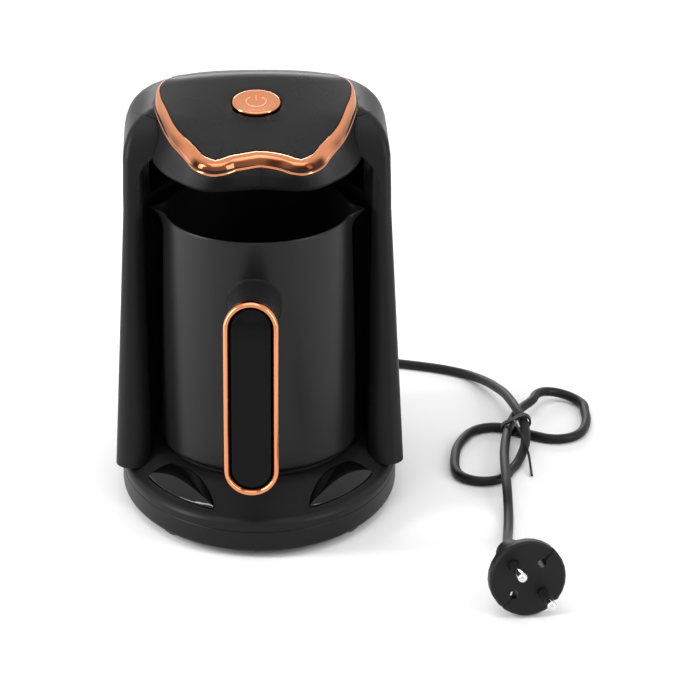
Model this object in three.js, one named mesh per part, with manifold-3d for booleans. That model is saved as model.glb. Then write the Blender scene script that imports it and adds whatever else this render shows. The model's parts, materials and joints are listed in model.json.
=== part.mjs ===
// Electric coffee maker for a 0.5 litre long-handled pot: a round base with a heating plate, a
// column with two side ears behind it, a head that leans over the pot, and the pot itself.
// Millimetres, +Z up, the front is -Y. The origin is on the table, on the axis of the pot, which
// is also the middle of the machine from the front of the handle to the rear wall.

import * as THREE from 'three';
import { mergeVertices } from 'three/addons/utils/BufferGeometryUtils.js';
import Module from 'manifold-3d';

const wasm = await Module();
wasm.setup();

// Driving sizes

const gap = 0.3; // between pieces that touch on the real machine
const overrun = 2; // how far a cutter reaches past what it cuts
const wall = 2.2; // moulded plastic shells

const potFootRadius = 46.3;
const potRimRadius = 43.1;
const potHeight = 113.9;
const potTurn = -3.3; // degrees about the upright axis
const spoutReach = 7.6;

const footHeight = 3;
const trayHeight = 10.2;
const apronRise = 5.6; // from the parting line of the base up to the crease round its top
const deckRise = 6.8; // from that crease up to the rim round the heating plate
const seatShare = 0.85; // of that rise, for which the body sinks into the base's cover
const plateProud = 1.2;
const baseFrontReach = 76.4;
const baseTuck = 2.7; // the ears stand this far proud of the base

const bayClearance = 4.2; // round the foot of the pot
const spoutClearance = 2.9;
const earFootWidth = 16.9;
const earTopWidth = 7.9;
const earFootReach = 23; // front of the ears, ahead of the pot's axis
const earTopReach = 3;
const columnDepth = 29.4; // from the bay's deepest line to the rear wall
const rearDraft = 2.5; // the rear wall leans in this far towards the top
const shoulderRise = 8.6; // from the pot's rim up to where the ears start to round over
const domeRise = 36;
const domeCentre = 40; // the shoulders are highest this far behind the pot's axis

const headClearance = 20.6; // from the pot's rim up to the underside of the head
const headTuck = 7.3; // the head is this much narrower than the bay on each side
const headFrontReach = 44.4;
const headRearReach = 54;
const headTopRise = 24.4; // from the underside up to the top plane, over the pot's axis
const headSlope = 0.165; // the top plane falls this much per millimetre towards the front
const headCrown = 1.2; // the top plane drops this much towards its sides

const trimHeight = 4.7;
const trimFrontWidth = 5.6;
const trimSideWidth = 3.9;
const panelThickness = 2.2;

const buttonRadius = 11.65;
const buttonForward = -10.5; // the button's centre lies this far ahead of the pot's axis
const buttonProud = 1.4;
const buttonTravel = 1;
const buttonClearance = 0.5;

const fingerGap = 21.5;
const handleWidth = 26.8;
const handleLength = 94;
const handleThickness = 15.2; // over the core, the ring and the plate
const handleDrop = 13.4; // the handle's top lies this far under the pot's rim
const handleLean = 7; // the handle's top leans this far back towards the pot

const cordDiameter = 4.6;
const plugRadius = 17.2;
const pinSpacing = 19;
const pinLength = 19;
const pinDiameter = 4.4;

// Heights and reaches that follow from them

const trayTop = footHeight + trayHeight;
const coverBottom = trayTop + gap;
const creaseZ = coverBottom + apronRise;
const deckZ = creaseZ + deckRise;
const seatDepth = deckRise * seatShare;
const bodyBottom = deckZ - seatDepth + gap;
const plateTop = deckZ + plateProud;
const potBottom = plateTop + gap;
const rimZ = potBottom + potHeight;
const shoulderZ = rimZ + shoulderRise;
const domeTop = shoulderZ + domeRise;
const headBottom = rimZ + headClearance;
const headTopZ = headBottom + headTopRise;
const aboveAll = Math.max(domeTop, headTopZ) + wall + 2 * overrun;

const bayFootRadius = potFootRadius + bayClearance;
const bayTopRadius = potRimRadius + spoutReach + spoutClearance;
const footHalfWidth = bayFootRadius + earFootWidth;
const topHalfWidth = bayTopRadius + earTopWidth;
const bayReach = Math.max(bayFootRadius, bayTopRadius);
const rearReach = bayReach + columnDepth;
const headHalfWidth = bayTopRadius - headTuck;
const baseHalfWidth = footHalfWidth - baseTuck;
const handleReach = potFootRadius + fingerGap + handleThickness;

const paint = (color, roughness, metalness) => (
  new THREE.MeshStandardMaterial({ color, roughness, metalness })
);

const satinBlack = paint(0x1a1a1c, 0.5, 0);
const glossBlack = paint(0x0c0c0e, 0.12, 0);
const panelBlack = paint(0x202022, 0.3, 0);
const potBlack = paint(0x232326, 0.42, 0.2);
const copper = paint(0xe08a5c, 0.18, 1);
const steel = paint(0xb8bcc0, 0.3, 1);
const aluminium = paint(0xa9acb0, 0.4, 1);
const rubber = paint(0x141414, 0.85, 0);
const silicone = paint(0x5a3430, 0.7, 0);
const circuitGreen = paint(0x1f5a3a, 0.5, 0);
const componentGrey = paint(0x2c3036, 0.5, 0);
const relayBlue = paint(0x2450a0, 0.45, 0);
const windowSmoke = paint(0x18100e, 0.08, 0);

const machine = new THREE.Group();

// Solid helpers

function solid(geometry) {
  const bare = geometry.clone();
  bare.deleteAttribute('normal');
  bare.deleteAttribute('uv');
  const merged = mergeVertices(bare);
  const positions = merged.attributes.position;
  const mesh = new wasm.Mesh({
    numProp: 3,
    vertProperties: new Float32Array(positions.array),
    triVerts: new Uint32Array(merged.index.array),
  });
  return new wasm.Manifold(mesh);
}

function geometryOf(body) {
  const mesh = body.getMesh();
  const geometry = new THREE.BufferGeometry();
  geometry.setAttribute('position', new THREE.BufferAttribute(new Float32Array(mesh.vertProperties), 3));
  geometry.setIndex(new THREE.BufferAttribute(new Uint32Array(mesh.triVerts), 1));
  geometry.computeVertexNormals();
  return geometry;
}

const join = (first, ...others) => others.reduce((body, other) => body.add(other), first);
const cut = (first, ...others) => others.reduce((body, other) => body.subtract(other), first);
const common = (first, ...others) => others.reduce((body, other) => body.intersect(other), first);

function add(name, shape, material, parent = machine) {
  const geometry = shape.isBufferGeometry ? shape : geometryOf(shape);
  const mesh = new THREE.Mesh(geometry, material);
  mesh.name = name;
  parent.add(mesh);
  return mesh;
}

const shapeOf = (points) => new THREE.Shape(points.map(([x, y]) => new THREE.Vector2(x, y)));

function extruded(shape, low, high, basis, curveSegments = 12) {
  const depth = high - low;
  const geometry = new THREE.ExtrudeGeometry(shape, { depth, bevelEnabled: false, curveSegments });
  geometry.translate(0, 0, low);
  if (basis) geometry.applyMatrix4(basis);
  return solid(geometry);
}

const alongX = new THREE.Matrix4().makeBasis(
  new THREE.Vector3(0, 1, 0), new THREE.Vector3(0, 0, 1), new THREE.Vector3(1, 0, 0));
const alongMinusY = new THREE.Matrix4().makeBasis(
  new THREE.Vector3(1, 0, 0), new THREE.Vector3(0, 0, 1), new THREE.Vector3(0, -1, 0));

const prism = (shape, low, high, curveSegments) => extruded(shape, low, high, null, curveSegments);
const acrossX = (shape, left, right) => extruded(shape, left, right, alongX);
const towardsFront = (shape, rear, front, arcSteps) => extruded(shape, -rear, -front, alongMinusY, arcSteps);

function box(low, high) {
  const size = high.map((value, axis) => value - low[axis]);
  const geometry = new THREE.BoxGeometry(...size);
  geometry.translate(...low.map((value, axis) => value + size[axis] / 2));
  return solid(geometry);
}

function disc(radius, low, high, x = 0, y = 0, sides = 32) {
  const geometry = new THREE.CylinderGeometry(radius, radius, high - low, sides);
  geometry.rotateX(Math.PI / 2);
  geometry.translate(x, y, (low + high) / 2);
  return solid(geometry);
}

function revolved(profile, sides) {
  const points = profile.map(([radius, z]) => new THREE.Vector2(radius, z));
  const geometry = new THREE.LatheGeometry(points, sides);
  geometry.rotateX(Math.PI / 2);
  return facedOut(geometry);
}

function rod(radius, y0, y1, x, z, sides = 24) {
  const geometry = new THREE.CylinderGeometry(radius, radius, Math.abs(y1 - y0), sides);
  geometry.translate(x, (y0 + y1) / 2, z);
  return solid(geometry);
}

// A geometry whose faces point inwards is turned inside out
function facedOut(geometry) {
  const bare = geometry.clone();
  bare.deleteAttribute('normal');
  bare.deleteAttribute('uv');
  const merged = mergeVertices(bare);
  const position = merged.attributes.position;
  const index = merged.index.array;
  const corner = [0, 1, 2].map(() => new THREE.Vector3());
  let volume = 0;
  for (let i = 0; i < index.length; i += 3) {
    corner.forEach((point, k) => point.fromBufferAttribute(position, index[i + k]));
    volume += corner[0].dot(corner[1].cross(corner[2]));
  }
  if (volume < 0) {
    for (let i = 0; i < index.length; i += 3) {
      [index[i + 1], index[i + 2]] = [index[i + 2], index[i + 1]];
    }
  }
  return solid(merged);
}

// A skin over rings of equally many points, with flat ends in the plane of the two named axes
function loft(rings, across = ['x', 'y']) {
  const count = rings[0].length;
  const position = rings.flatMap((ring) => ring.flatMap((point) => [point.x, point.y, point.z]));
  const index = [];
  for (let level = 0; level + 1 < rings.length; level += 1) {
    for (let i = 0; i < count; i += 1) {
      const a = level * count + i;
      const b = level * count + ((i + 1) % count);
      index.push(a, b, b + count, a, b + count, a + count);
    }
  }
  const flat = (ring) => ring.map((point) => new THREE.Vector2(point[across[0]], point[across[1]]));
  const ends = [[0, true], [rings.length - 1, false]];
  for (const [level, reversed] of ends) {
    const contour = flat(rings[level]);
    const clockwise = THREE.ShapeUtils.isClockWise(contour);
    for (const [a, b, c] of THREE.ShapeUtils.triangulateShape(contour, [])) {
      const corners = [a, b, c].map((corner) => corner + level * count);
      const area = THREE.ShapeUtils.area([contour[a], contour[b], contour[c]]);
      if ((area < 0) !== clockwise) corners.reverse();
      index.push(...(reversed ? corners.reverse() : corners));
    }
  }
  const geometry = new THREE.BufferGeometry();
  geometry.setAttribute('position', new THREE.Float32BufferAttribute(position, 3));
  geometry.setIndex(index);
  return facedOut(geometry);
}

// Every second point of a ring is enough for a surface that lies inside a housing
const thinned = (ring) => ring.filter((point, i) => i % 2 === 0);

const mix = (from, to, share) => from + (to - from) * share;
const clamped = (value) => Math.min(1, Math.max(0, value));
const smooth = (share) => share * share * (3 - 2 * share);
const radians = (degrees) => (degrees * Math.PI) / 180;
const spread = (from, to, steps) => Array.from({ length: steps + 1 }, (_, i) => mix(from, to, i / steps));

// A quarter of a rounded box outline: power 2 is an ellipse, a higher one is squarer
function roundedPoint(angle, halfWidth, reach, power) {
  const x = halfWidth * Math.sign(Math.cos(angle)) * Math.abs(Math.cos(angle)) ** (2 / power);
  const y = reach * Math.sign(Math.sin(angle)) * Math.abs(Math.sin(angle)) ** (2 / power);
  return [x, y];
}

// Base: a pan, a cover with a sloping deck, rubber feet and screws

const rearPower = 2.6; // squareness of the machine's rear corners
const baseWaist = 5; // the front half of the base is an ellipse about this line
const apronSteps = 20;
const flankSteps = 16;

// The sides and the rear of the machine in plan, from the right round to the left
function rearOutline(halfWidth, reach, inset) {
  return spread(0, Math.PI, flankSteps).map((angle) => {
    const [x, y] = roundedPoint(angle, halfWidth - inset, reach - domeCentre - inset, rearPower);
    return [x, y + domeCentre];
  });
}

function baseOutline(inset) {
  const apron = spread(Math.PI, 2 * Math.PI, apronSteps).map((angle) => {
    const [x, y] = roundedPoint(angle, baseHalfWidth - inset, baseFrontReach + baseWaist - inset, 2);
    return [x, y + baseWaist];
  });
  return [...rearOutline(baseHalfWidth, rearReach - baseTuck / 2, inset), ...apron];
}

const baseRing = (inset, z) => baseOutline(inset).map(([x, y]) => new THREE.Vector3(x, y, z));

const trayCorner = 2.6; // the pan's lower edge is rounded by this much
const trayCornerShares = [0.31, 0.25]; // of the rounding, inwards and upwards, where its middle ring lies
const trayFloor = 2;
const footRadius = 6.5;
const footInset = 3.4; // from the pan's edge in to the feet
const footAngleShare = 0.26; // of a half turn from the side towards the front
const rearFootAngleShare = 0.3;
const screwRadius = 1.5;
const screwHeadRadius = 3;
const screwHeadHeight = 1.8;
const screwLength = 9;
const screwHoleClearance = 0.35;
const screwRecessShare = 0.4; // of a screw head's radius
const bossWall = 1.6;

function footPlace(side, front) {
  const turn = Math.PI * (front ? footAngleShare : rearFootAngleShare);
  const middle = front ? baseWaist : domeCentre;
  const reach = front ? baseFrontReach + baseWaist : rearReach - domeCentre;
  const [x, y] = roundedPoint(turn, baseHalfWidth, reach, front ? 2 : rearPower);
  const shrink = 1 - (footInset + footRadius) / Math.hypot(x, y);
  return [side * x * shrink, (front ? -y : y) * shrink + middle];
}

const footCorners = [
  ['front_left', ...footPlace(-1, true)],
  ['front_right', ...footPlace(1, true)],
  ['rear_left', ...footPlace(-1, false)],
  ['rear_right', ...footPlace(1, false)],
];

const elementRadius = 27;
const elementThickness = 6.4;
const plateRadius = 40;
const plateThickness = 3.6;
const plateEdge = 0.9;
const elementTop = plateTop - plateThickness - gap;
const elementBottom = elementTop - elementThickness;
const bracketThickness = 1.2;
const bracketTop = elementBottom - gap;
const bracketHalfLength = elementRadius + elementThickness;
const bracketWidth = 14;
const bracketTab = 7;

const screwSeat = footHeight + gap;
const screwTip = screwSeat + screwLength;
const bossRadius = screwRadius + screwHoleClearance + bossWall;

function makeTray() {
  const outer = loft([
    baseRing(trayCorner, footHeight),
    baseRing(trayCorner * trayCornerShares[0], footHeight + trayCorner * trayCornerShares[1]),
    baseRing(0, footHeight + trayCorner),
    baseRing(0, trayTop),
  ]);
  const hollow = loft([footHeight + trayFloor, trayTop + overrun].map((z) => thinned(baseRing(wall, z))));
  const ventLength = 30;
  const ventWidth = 2.4;
  const ventPitch = 6;
  const ventCount = 5;
  let tray = cut(outer, hollow);
  for (const offset of spread(-1, 1, ventCount - 1)) {
    const y = (offset * ventPitch * (ventCount - 1)) / 2;
    const slot = box(
      [-ventLength / 2, y - ventWidth / 2, footHeight - overrun],
      [ventLength / 2, y + ventWidth / 2, footHeight + trayFloor + overrun],
    );
    tray = tray.subtract(slot);
  }
  for (const [, x, y] of footCorners) {
    const boss = disc(bossRadius, footHeight + trayFloor / 2, screwTip, x, y, 10);
    const bore = disc(screwRadius + screwHoleClearance, footHeight - overrun, screwTip + overrun, x, y, 8);
    tray = cut(join(tray, boss), bore);
  }
  return tray;
}

const footHollowRadius = screwHeadRadius + gap;

function makeFoot(x, y) {
  const edge = 1;
  const profile = [
    [footHollowRadius, 0],
    [footRadius - edge, 0],
    [footRadius, edge],
    [footRadius, footHeight - gap],
    [footHollowRadius, footHeight - gap],
    [footHollowRadius, 0],
  ];
  return revolved(profile, 16).translate(x, y, 0);
}

function makeScrew(seat, head, length, headRadius, radius) {
  const recess = headRadius * screwRecessShare;
  const profile = [
    [0, seat - head + recess],
    [recess, seat - head + recess],
    [recess, seat - head],
    [headRadius, seat - head],
    [headRadius, seat],
    [radius, seat],
    [radius, seat + length - radius],
    [0, seat + length],
  ];
  return revolved(profile, 8);
}

add('base_tray', makeTray(), satinBlack);
for (const [corner, x, y] of footCorners) {
  add(`foot_${corner}`, makeFoot(x, y), rubber);
  const screw = makeScrew(footHeight - gap, screwHeadHeight, screwLength, screwHeadRadius, screwRadius);
  add(`base_screw_${corner}`, screw.translate(x, y, 0), steel);
}

// The cover's deck is a skin from the oval crease to the round rim beside the heating plate

const creaseInset = 4.2;
const creaseSoftness = 1.1;
const sealGroove = 3.2;
const plateHoleRadius = plateRadius + sealGroove;
const creaseShares = [[0.1, 2], [0.4, 0.6], [1, 0]]; // of the inset, and of the softness below the crease

function roundRing(radius, z) {
  return baseOutline(0).map(([x, y]) => {
    const angle = Math.atan2(y, x);
    return new THREE.Vector3(radius * Math.cos(angle), radius * Math.sin(angle), z);
  });
}

function deckSkin(drop, inset, thin = (ring) => ring) {
  return loft([
    baseRing(inset, coverBottom - (drop > 0 ? overrun : 0)),
    ...creaseShares.map(([tuck, fall]) => (
      baseRing(inset + creaseInset * tuck, creaseZ - creaseSoftness * fall - drop)
    )),
    roundRing(bayFootRadius + gap, deckZ - drop),
    roundRing(plateHoleRadius - overrun, deckZ - drop),
  ].map(thin));
}

// The body's outline: two ears with rounded noses, joined behind the bay of the pot

const noseShare = 1.18; // depth of an ear's rounded nose, of half the ear's width
const noseSteps = 6;
const baySteps = 16;
const earCrest = 33; // the ears' front edges curve back to here, behind the pot's axis
const domePower = 4.5; // squareness of the shoulders seen from the front
const domeTurns = [12, 24, 36, 48, 60, 69, 76]; // degrees of the rounding at which a ring is laid
const crestTurns = [84, 88];

const domeRing = (degrees, inset) => {
  const angle = radians(degrees);
  return shoulderZ + (domeRise - inset) * Math.sin(angle) ** (2 / domePower);
};

// Above the shoulders the outline in plan shrinks towards the crest by this factor
function domeShrink(z, inset) {
  const rise = clamped((z - shoulderZ) / (domeRise - inset));
  return (1 - rise ** domePower) ** (1 / domePower);
}

function flankRing(z, inset, outer) {
  const lift = clamped((z - bodyBottom) / (shoulderZ - bodyBottom));
  const shrink = domeShrink(z, inset);
  return rearOutline(outer, rearReach - rearDraft * lift, inset).map(([x, y]) => [
    x * shrink,
    domeCentre + (y - domeCentre) * shrink,
  ]);
}

function bodyRing(z, inset, bayGrow = inset, middleShare = 1 / 2) {
  const lift = clamped((z - bodyBottom) / (shoulderZ - bodyBottom));
  const flare = clamped((z - bodyBottom) / (rimZ - bodyBottom));
  const rise = clamped((z - shoulderZ) / (domeRise - inset));
  const flank = flankRing(z, inset, mix(footHalfWidth, topHalfWidth, flare));
  const outer = flank[0][0];
  const inner = mix(bayFootRadius, bayTopRadius, flare) + bayGrow;
  const upright = earCrest + mix(earFootReach, earTopReach, lift) - inset;
  const front = earCrest - upright * Math.sqrt(1 - rise * rise);
  const middle = mix(inner, outer, middleShare);
  const depth = (outer - middle) * noseShare;
  const nose = spread(0, Math.PI, noseSteps).map((angle) => [
    middle - (angle < Math.PI / 2 ? middle - inner : outer - middle) * Math.cos(angle),
    front + depth * (1 - Math.sin(angle)),
  ]);
  const bay = spread(Math.PI, 0, baySteps).map((angle) => [inner * Math.cos(angle), inner * Math.sin(angle)]);
  const detail = inset > 0 ? thinned : (points) => points;
  const right = detail(nose);
  const left = right.map(([x, y]) => [-x, y]).reverse();
  return [...right, ...detail(flank), ...left, ...bay].map(([x, y]) => new THREE.Vector3(x, y, z));
}

const bodyLevels = (inset) => [
  bodyBottom, rimZ, shoulderZ, ...domeTurns.map((turn) => domeRing(turn, inset)),
];

// The top cover's shoulders follow the same rings, closed across the middle
function shoulderBlock(inset, low, front) {
  const detail = inset > 0 ? thinned : (points) => points;
  const turns = detail([...domeTurns, ...crestTurns]);
  const levels = [low, ...turns.map((turn) => domeRing(turn, inset)).filter((z) => z > low)];
  return loft(levels.map((z) => {
    const flank = detail(flankRing(z, inset, topHalfWidth));
    const reach = flank[0][0];
    return [...flank, [-reach, front], [reach, front]].map(([x, y]) => new THREE.Vector3(x, y, z));
  }));
}

// The head's outline: two lobes at the front with a notch between them, a round rear

const headShares = [
  [0, -0.84], [0.19, -0.894], [0.318, -0.977], [0.42, -1], [0.518, -0.955], [0.616, -0.85],
  [0.708, -0.63], [0.853, -0.284], [0.955, 0.12], [1, 0.42], [0.95, 0.68], [0.66, 0.93], [0, 1],
];
// The lower edge is rounder: it follows the bay at the sides and only dips a little at the front
const headFootShares = [
  [0, -0.745], [0.19, -0.775], [0.318, -0.8], [0.42, -0.805], [0.535, -0.785], [0.645, -0.715],
  [0.755, -0.585], [0.93, -0.31], [1.045, 0.04], [1.07, 0.42], [0.99, 0.68], [0.66, 0.93], [0, 1],
];
const headSteps = 42;
const headRound = 4; // rounding of the head's lower edge
const headRoundShares = [[0, 0.8], [0.3, 0.3], [1, 0]];
const headBlendShare = 0.6; // of the head's height over which the lower outline turns into the upper

function closedCurve(shares) {
  const right = shares.map(([x, y]) => [x * headHalfWidth, y * (y < 0 ? headFrontReach : headRearReach)]);
  const left = right.slice(1, -1).reverse().map(([x, y]) => [-x, y]);
  const points = [...right, ...left].map(([x, y]) => new THREE.Vector3(x, y, 0));
  return new THREE.CatmullRomCurve3(points, true, 'centripetal').getPoints(headSteps).slice(0, headSteps);
}

const headOutline = closedCurve(headShares);
const headFootOutline = closedCurve(headFootShares);

// The outline moved inwards along its own normals
function inward(outline, distance) {
  const count = outline.length;
  return outline.map((point, i) => {
    const before = outline[(i + count - 1) % count];
    const after = outline[(i + 1) % count];
    const along = new THREE.Vector3().subVectors(after, before).normalize();
    const reach = typeof distance === 'function' ? distance(point) : distance;
    return new THREE.Vector3(point.x - along.y * reach, point.y + along.x * reach, point.z);
  });
}

function headRing(z, inset) {
  const share = smooth(clamped((z - headBottom) / (headTopRise * headBlendShare)));
  const outline = headFootOutline.map((foot, i) => foot.clone().lerp(headOutline[i], share));
  return inward(outline, inset).map((point) => point.setZ(z));
}

function headBlock(inset, low, thin = (ring) => ring) {
  const round = headRoundShares.map(([rise, tuck]) => (
    [headBottom + rise * headRound, inset + tuck * headRound]
  ));
  const blend = headTopRise * headBlendShare;
  const rise = [0.6, 1].map((share) => [headBottom + blend * share, inset]);
  const levels = [[low, round[0][1]], ...(low < headBottom ? round : round.slice(1)), ...rise];
  levels.push([aboveAll, inset]);
  return loft(levels.map(([z, tuck]) => thin(headRing(z, tuck))));
}

// The sloping, slightly crowned top surface of the head, rolling off towards the rear

const rollStart = 35.5; // behind the pot's axis
const rollRadius = 26;
const rearCrown = 2.2; // added to the crown by the time the surface rolls off

function topSurface(x, y) {
  const crown = headCrown + rearCrown * clamped(y / rollStart);
  const past = Math.max(0, y - rollStart);
  const roll = rollRadius - Math.sqrt(Math.max(0, rollRadius ** 2 - past ** 2));
  return headTopZ + headSlope * y - crown * (x / headHalfWidth) ** 2 - roll;
}

const sheetAcross = 6;
const sheetMargin = 11.5; // the sheet reaches this far past the head on each side
const sheetFront = -headFrontReach - overrun;
const sheetRear = headRearReach + overrun;
const sheetRows = [sheetFront, 0, ...spread(rollStart, sheetRear, 3)];

function underTop(drop) {
  const half = headHalfWidth + sheetMargin;
  const floor = headBottom - 2 * overrun;
  const rings = sheetRows.map((y) => [
    new THREE.Vector3(-half, y, floor),
    new THREE.Vector3(half, y, floor),
    ...spread(half, -half, sheetAcross).map((x) => new THREE.Vector3(x, y, topSurface(x, y) - drop)),
  ]);
  return loft(rings, ['x', 'z']);
}

// Copper trim: a flange on top and a skirt down the outside, with a fine lip at its lower edge

function trimWidth(point) {
  const share = smooth(clamped((point.y + headFrontReach) / headFrontReach));
  return mix(trimFrontWidth, trimSideWidth, share);
}

const upright = (outline, low, high) => loft(
  [low, high].map((z) => outline.map((point) => point.clone().setZ(z))),
);
const aroundTrim = (outline) => cut(
  upright(outline, slabLow, slabHigh),
  upright(trimInner, slabLow - overrun, slabHigh + overrun),
);
const slabLow = headBottom + overrun;
const slabHigh = aboveAll;
const trimInner = inward(headOutline, trimWidth);
const trimLip = 0.8; // height of the fine lip at the trim's lower edge
const trimLipReach = 0.56;

function makeTrim() {
  const skirt = aroundTrim(headOutline);
  const band = cut(common(skirt, underTop(0)), underTop(trimHeight));
  const lipOutline = inward(headOutline, -trimLipReach);
  const lipRing = aroundTrim(lipOutline);
  const lip = cut(common(lipRing, underTop(trimHeight - trimLip)), underTop(trimHeight));
  return join(band, lip);
}

const buttonHole = buttonRadius + buttonClearance;
const slopeAngle = Math.atan(headSlope);
const buttonY = -buttonForward;
const buttonPlace = new THREE.Matrix4()
  .makeRotationX(slopeAngle)
  .setPosition(0, buttonY, topSurface(0, buttonY));
const placed = (body) => body.transform(buttonPlace.toArray());

function makePanel() {
  const outline = inward(headOutline, (point) => trimWidth(point) + gap);
  const plate = cut(common(upright(outline, slabLow, slabHigh), underTop(0)), underTop(panelThickness));
  return cut(plate, placed(disc(buttonHole, -switchDrop, switchDrop, 0, 0, 36)));
}

// Head housing: the shoulders of the machine and the head, in one moulding open underneath

const coverSplit = 16.5; // from the shoulders up to the lower edge of the top cover
const coverBottomZ = shoulderZ + coverSplit;
const seamOuterY = 41;
const seamInnerY = 31;
const seamReach = rearReach + overrun;
const deckThickness = 2;
const flangeSeat = panelThickness + gap;
const trimSeat = trimHeight + gap;

function seamRegion(shift, low) {
  const outline = shapeOf([
    [-seamReach, seamOuterY + shift],
    [-topHalfWidth, seamOuterY + shift],
    [-headHalfWidth, seamInnerY + shift],
    [headHalfWidth, seamInnerY + shift],
    [topHalfWidth, seamOuterY + shift],
    [seamReach, seamOuterY + shift],
    [seamReach, seamReach],
    [-seamReach, seamReach],
  ]);
  return prism(outline, low, aboveAll);
}

// The button's guide and the bosses for its board and for the plate underneath

const flangeReach = 1.1;
const flangeRadius = buttonHole + flangeReach;
const flangeThickness = 1;
const guideBore = flangeRadius + buttonClearance;
const switchDrop = 9; // from the top plane down to the foot of the button's switch
const boardThickness = 1.6;
const boardBossRadius = 2.4;
const guideWall = 0.6;
const boardBossX = guideBore + boardBossRadius + guideWall;
const floorThickness = 2;
const floorTop = headBottom + gap + floorThickness;
const headScrewX = 28;
const headScrewY = 8;
const headScrewLength = 8;

function makeHeadHousing() {
  const front = seamInnerY - earTopWidth;
  const shoulders = common(shoulderBlock(0, coverBottomZ, front), seamRegion(0, coverBottomZ));
  const flangeOutline = inward(headOutline, (point) => trimWidth(point) + gap);
  const head = join(
    common(headBlock(0, headBottom), underTop(trimSeat)),
    common(upright(flangeOutline, slabLow, slabHigh), underTop(flangeSeat)),
  );
  const blank = upright(inward(headOutline, -trimLip - gap), slabLow, slabHigh + overrun);
  const above = cut(blank, underTop(trimSeat));
  const raised = cut(above, common(upright(flangeOutline, slabLow, slabHigh), underTop(flangeSeat)));
  const outer = join(cut(shoulders, raised), head);
  const rearHollow = common(
    shoulderBlock(wall, coverBottomZ - overrun, front),
    seamRegion(wall, coverBottomZ - overrun),
  );
  const headInside = headBlock(wall, headBottom - overrun, thinned);
  const headHollow = common(headInside, underTop(trimSeat + deckThickness));
  const passage = placed(disc(guideBore, -switchDrop, panelThickness, 0, 0, 32));
  let housing = cut(outer, rearHollow, headHollow, passage);
  for (const side of [-1, 1]) {
    const boardBossTop = -trimSeat - deckThickness / 2;
    const boardBoss = disc(boardBossRadius, -switchDrop, boardBossTop, side * boardBossX, 0, 8);
    const screwBoss = disc(bossRadius, floorTop + gap, slabHigh, side * headScrewX, headScrewY, 10);
    const bore = disc(
      screwRadius + screwHoleClearance, floorTop - overrun, floorTop + headScrewLength,
      side * headScrewX, headScrewY, 8);
    housing = join(housing, placed(boardBoss), common(screwBoss, underTop(trimSeat + deckThickness / 2)));
    housing = cut(housing, bore);
  }
  return housing;
}

// Base cover, with a level seat cut for the body and a pocket for each lens

const lensLift = 1.5; // the lenses stand proud of the deck
const lensDepth = 2.6;
const lensGroove = 0.7;
const lensTurns = [17.8, 53]; // degrees round from straight ahead to the two tips
const lensTipShares = [0.955, 0.96]; // of the crease's distance from the pot's axis
const lensFrontBow = 3.6;
const lensRearShares = [[0.25, 0.22], [1, 0.385]]; // of the length between the tips
const lensSteps = 8;
const lensShoulder = 0.6; // height of the lens's upright edge above the deck
const wellShare = 0.62; // width of the opening under the column, of the bay's
const wellMargin = 3.5;

function creaseDistance(angle) {
  const halfWidth = baseHalfWidth - creaseInset;
  const reach = baseFrontReach + baseWaist - creaseInset;
  const across = Math.sin(angle) / halfWidth;
  const ahead = Math.cos(angle) / reach;
  const a = across ** 2 + ahead ** 2;
  const b = (2 * baseWaist * ahead) / reach;
  const c = (baseWaist / reach) ** 2 - 1;
  return (-b + Math.sqrt(b * b - 4 * a * c)) / (2 * a);
}

// A leaf: the front edge follows the crease, the rear edge is fuller towards the outer tip
function lensOutline(side, grow) {
  const [inner, outer] = lensTurns.map((degrees, i) => {
    const angle = radians(degrees);
    const reach = creaseDistance(angle) * lensTipShares[i];
    return new THREE.Vector2(Math.sin(angle) * reach, -Math.cos(angle) * reach);
  });
  const chord = new THREE.Vector2().subVectors(outer, inner);
  const length = chord.length();
  const along = chord.clone().normalize();
  const ahead = new THREE.Vector2(along.y, -along.x);
  const at = (share, offset) => inner.clone().addScaledVector(chord, share).addScaledVector(ahead, offset);
  const front = new THREE.QuadraticBezierCurve(inner, at(1 / 2, 2 * lensFrontBow), outer);
  const [near, far] = lensRearShares.map(([share, bow]) => at(share, -bow * length));
  const rear = new THREE.CubicBezierCurve(outer, far, near, inner);
  const points = [...front.getPoints(lensSteps).slice(0, -1), ...rear.getPoints(lensSteps).slice(0, -1)];
  const ring = points.map((point) => new THREE.Vector3(point.x, point.y, 0));
  return shapeOf(inward(ring, -grow).map((point) => [side * point.x, point.y]));
}

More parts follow.
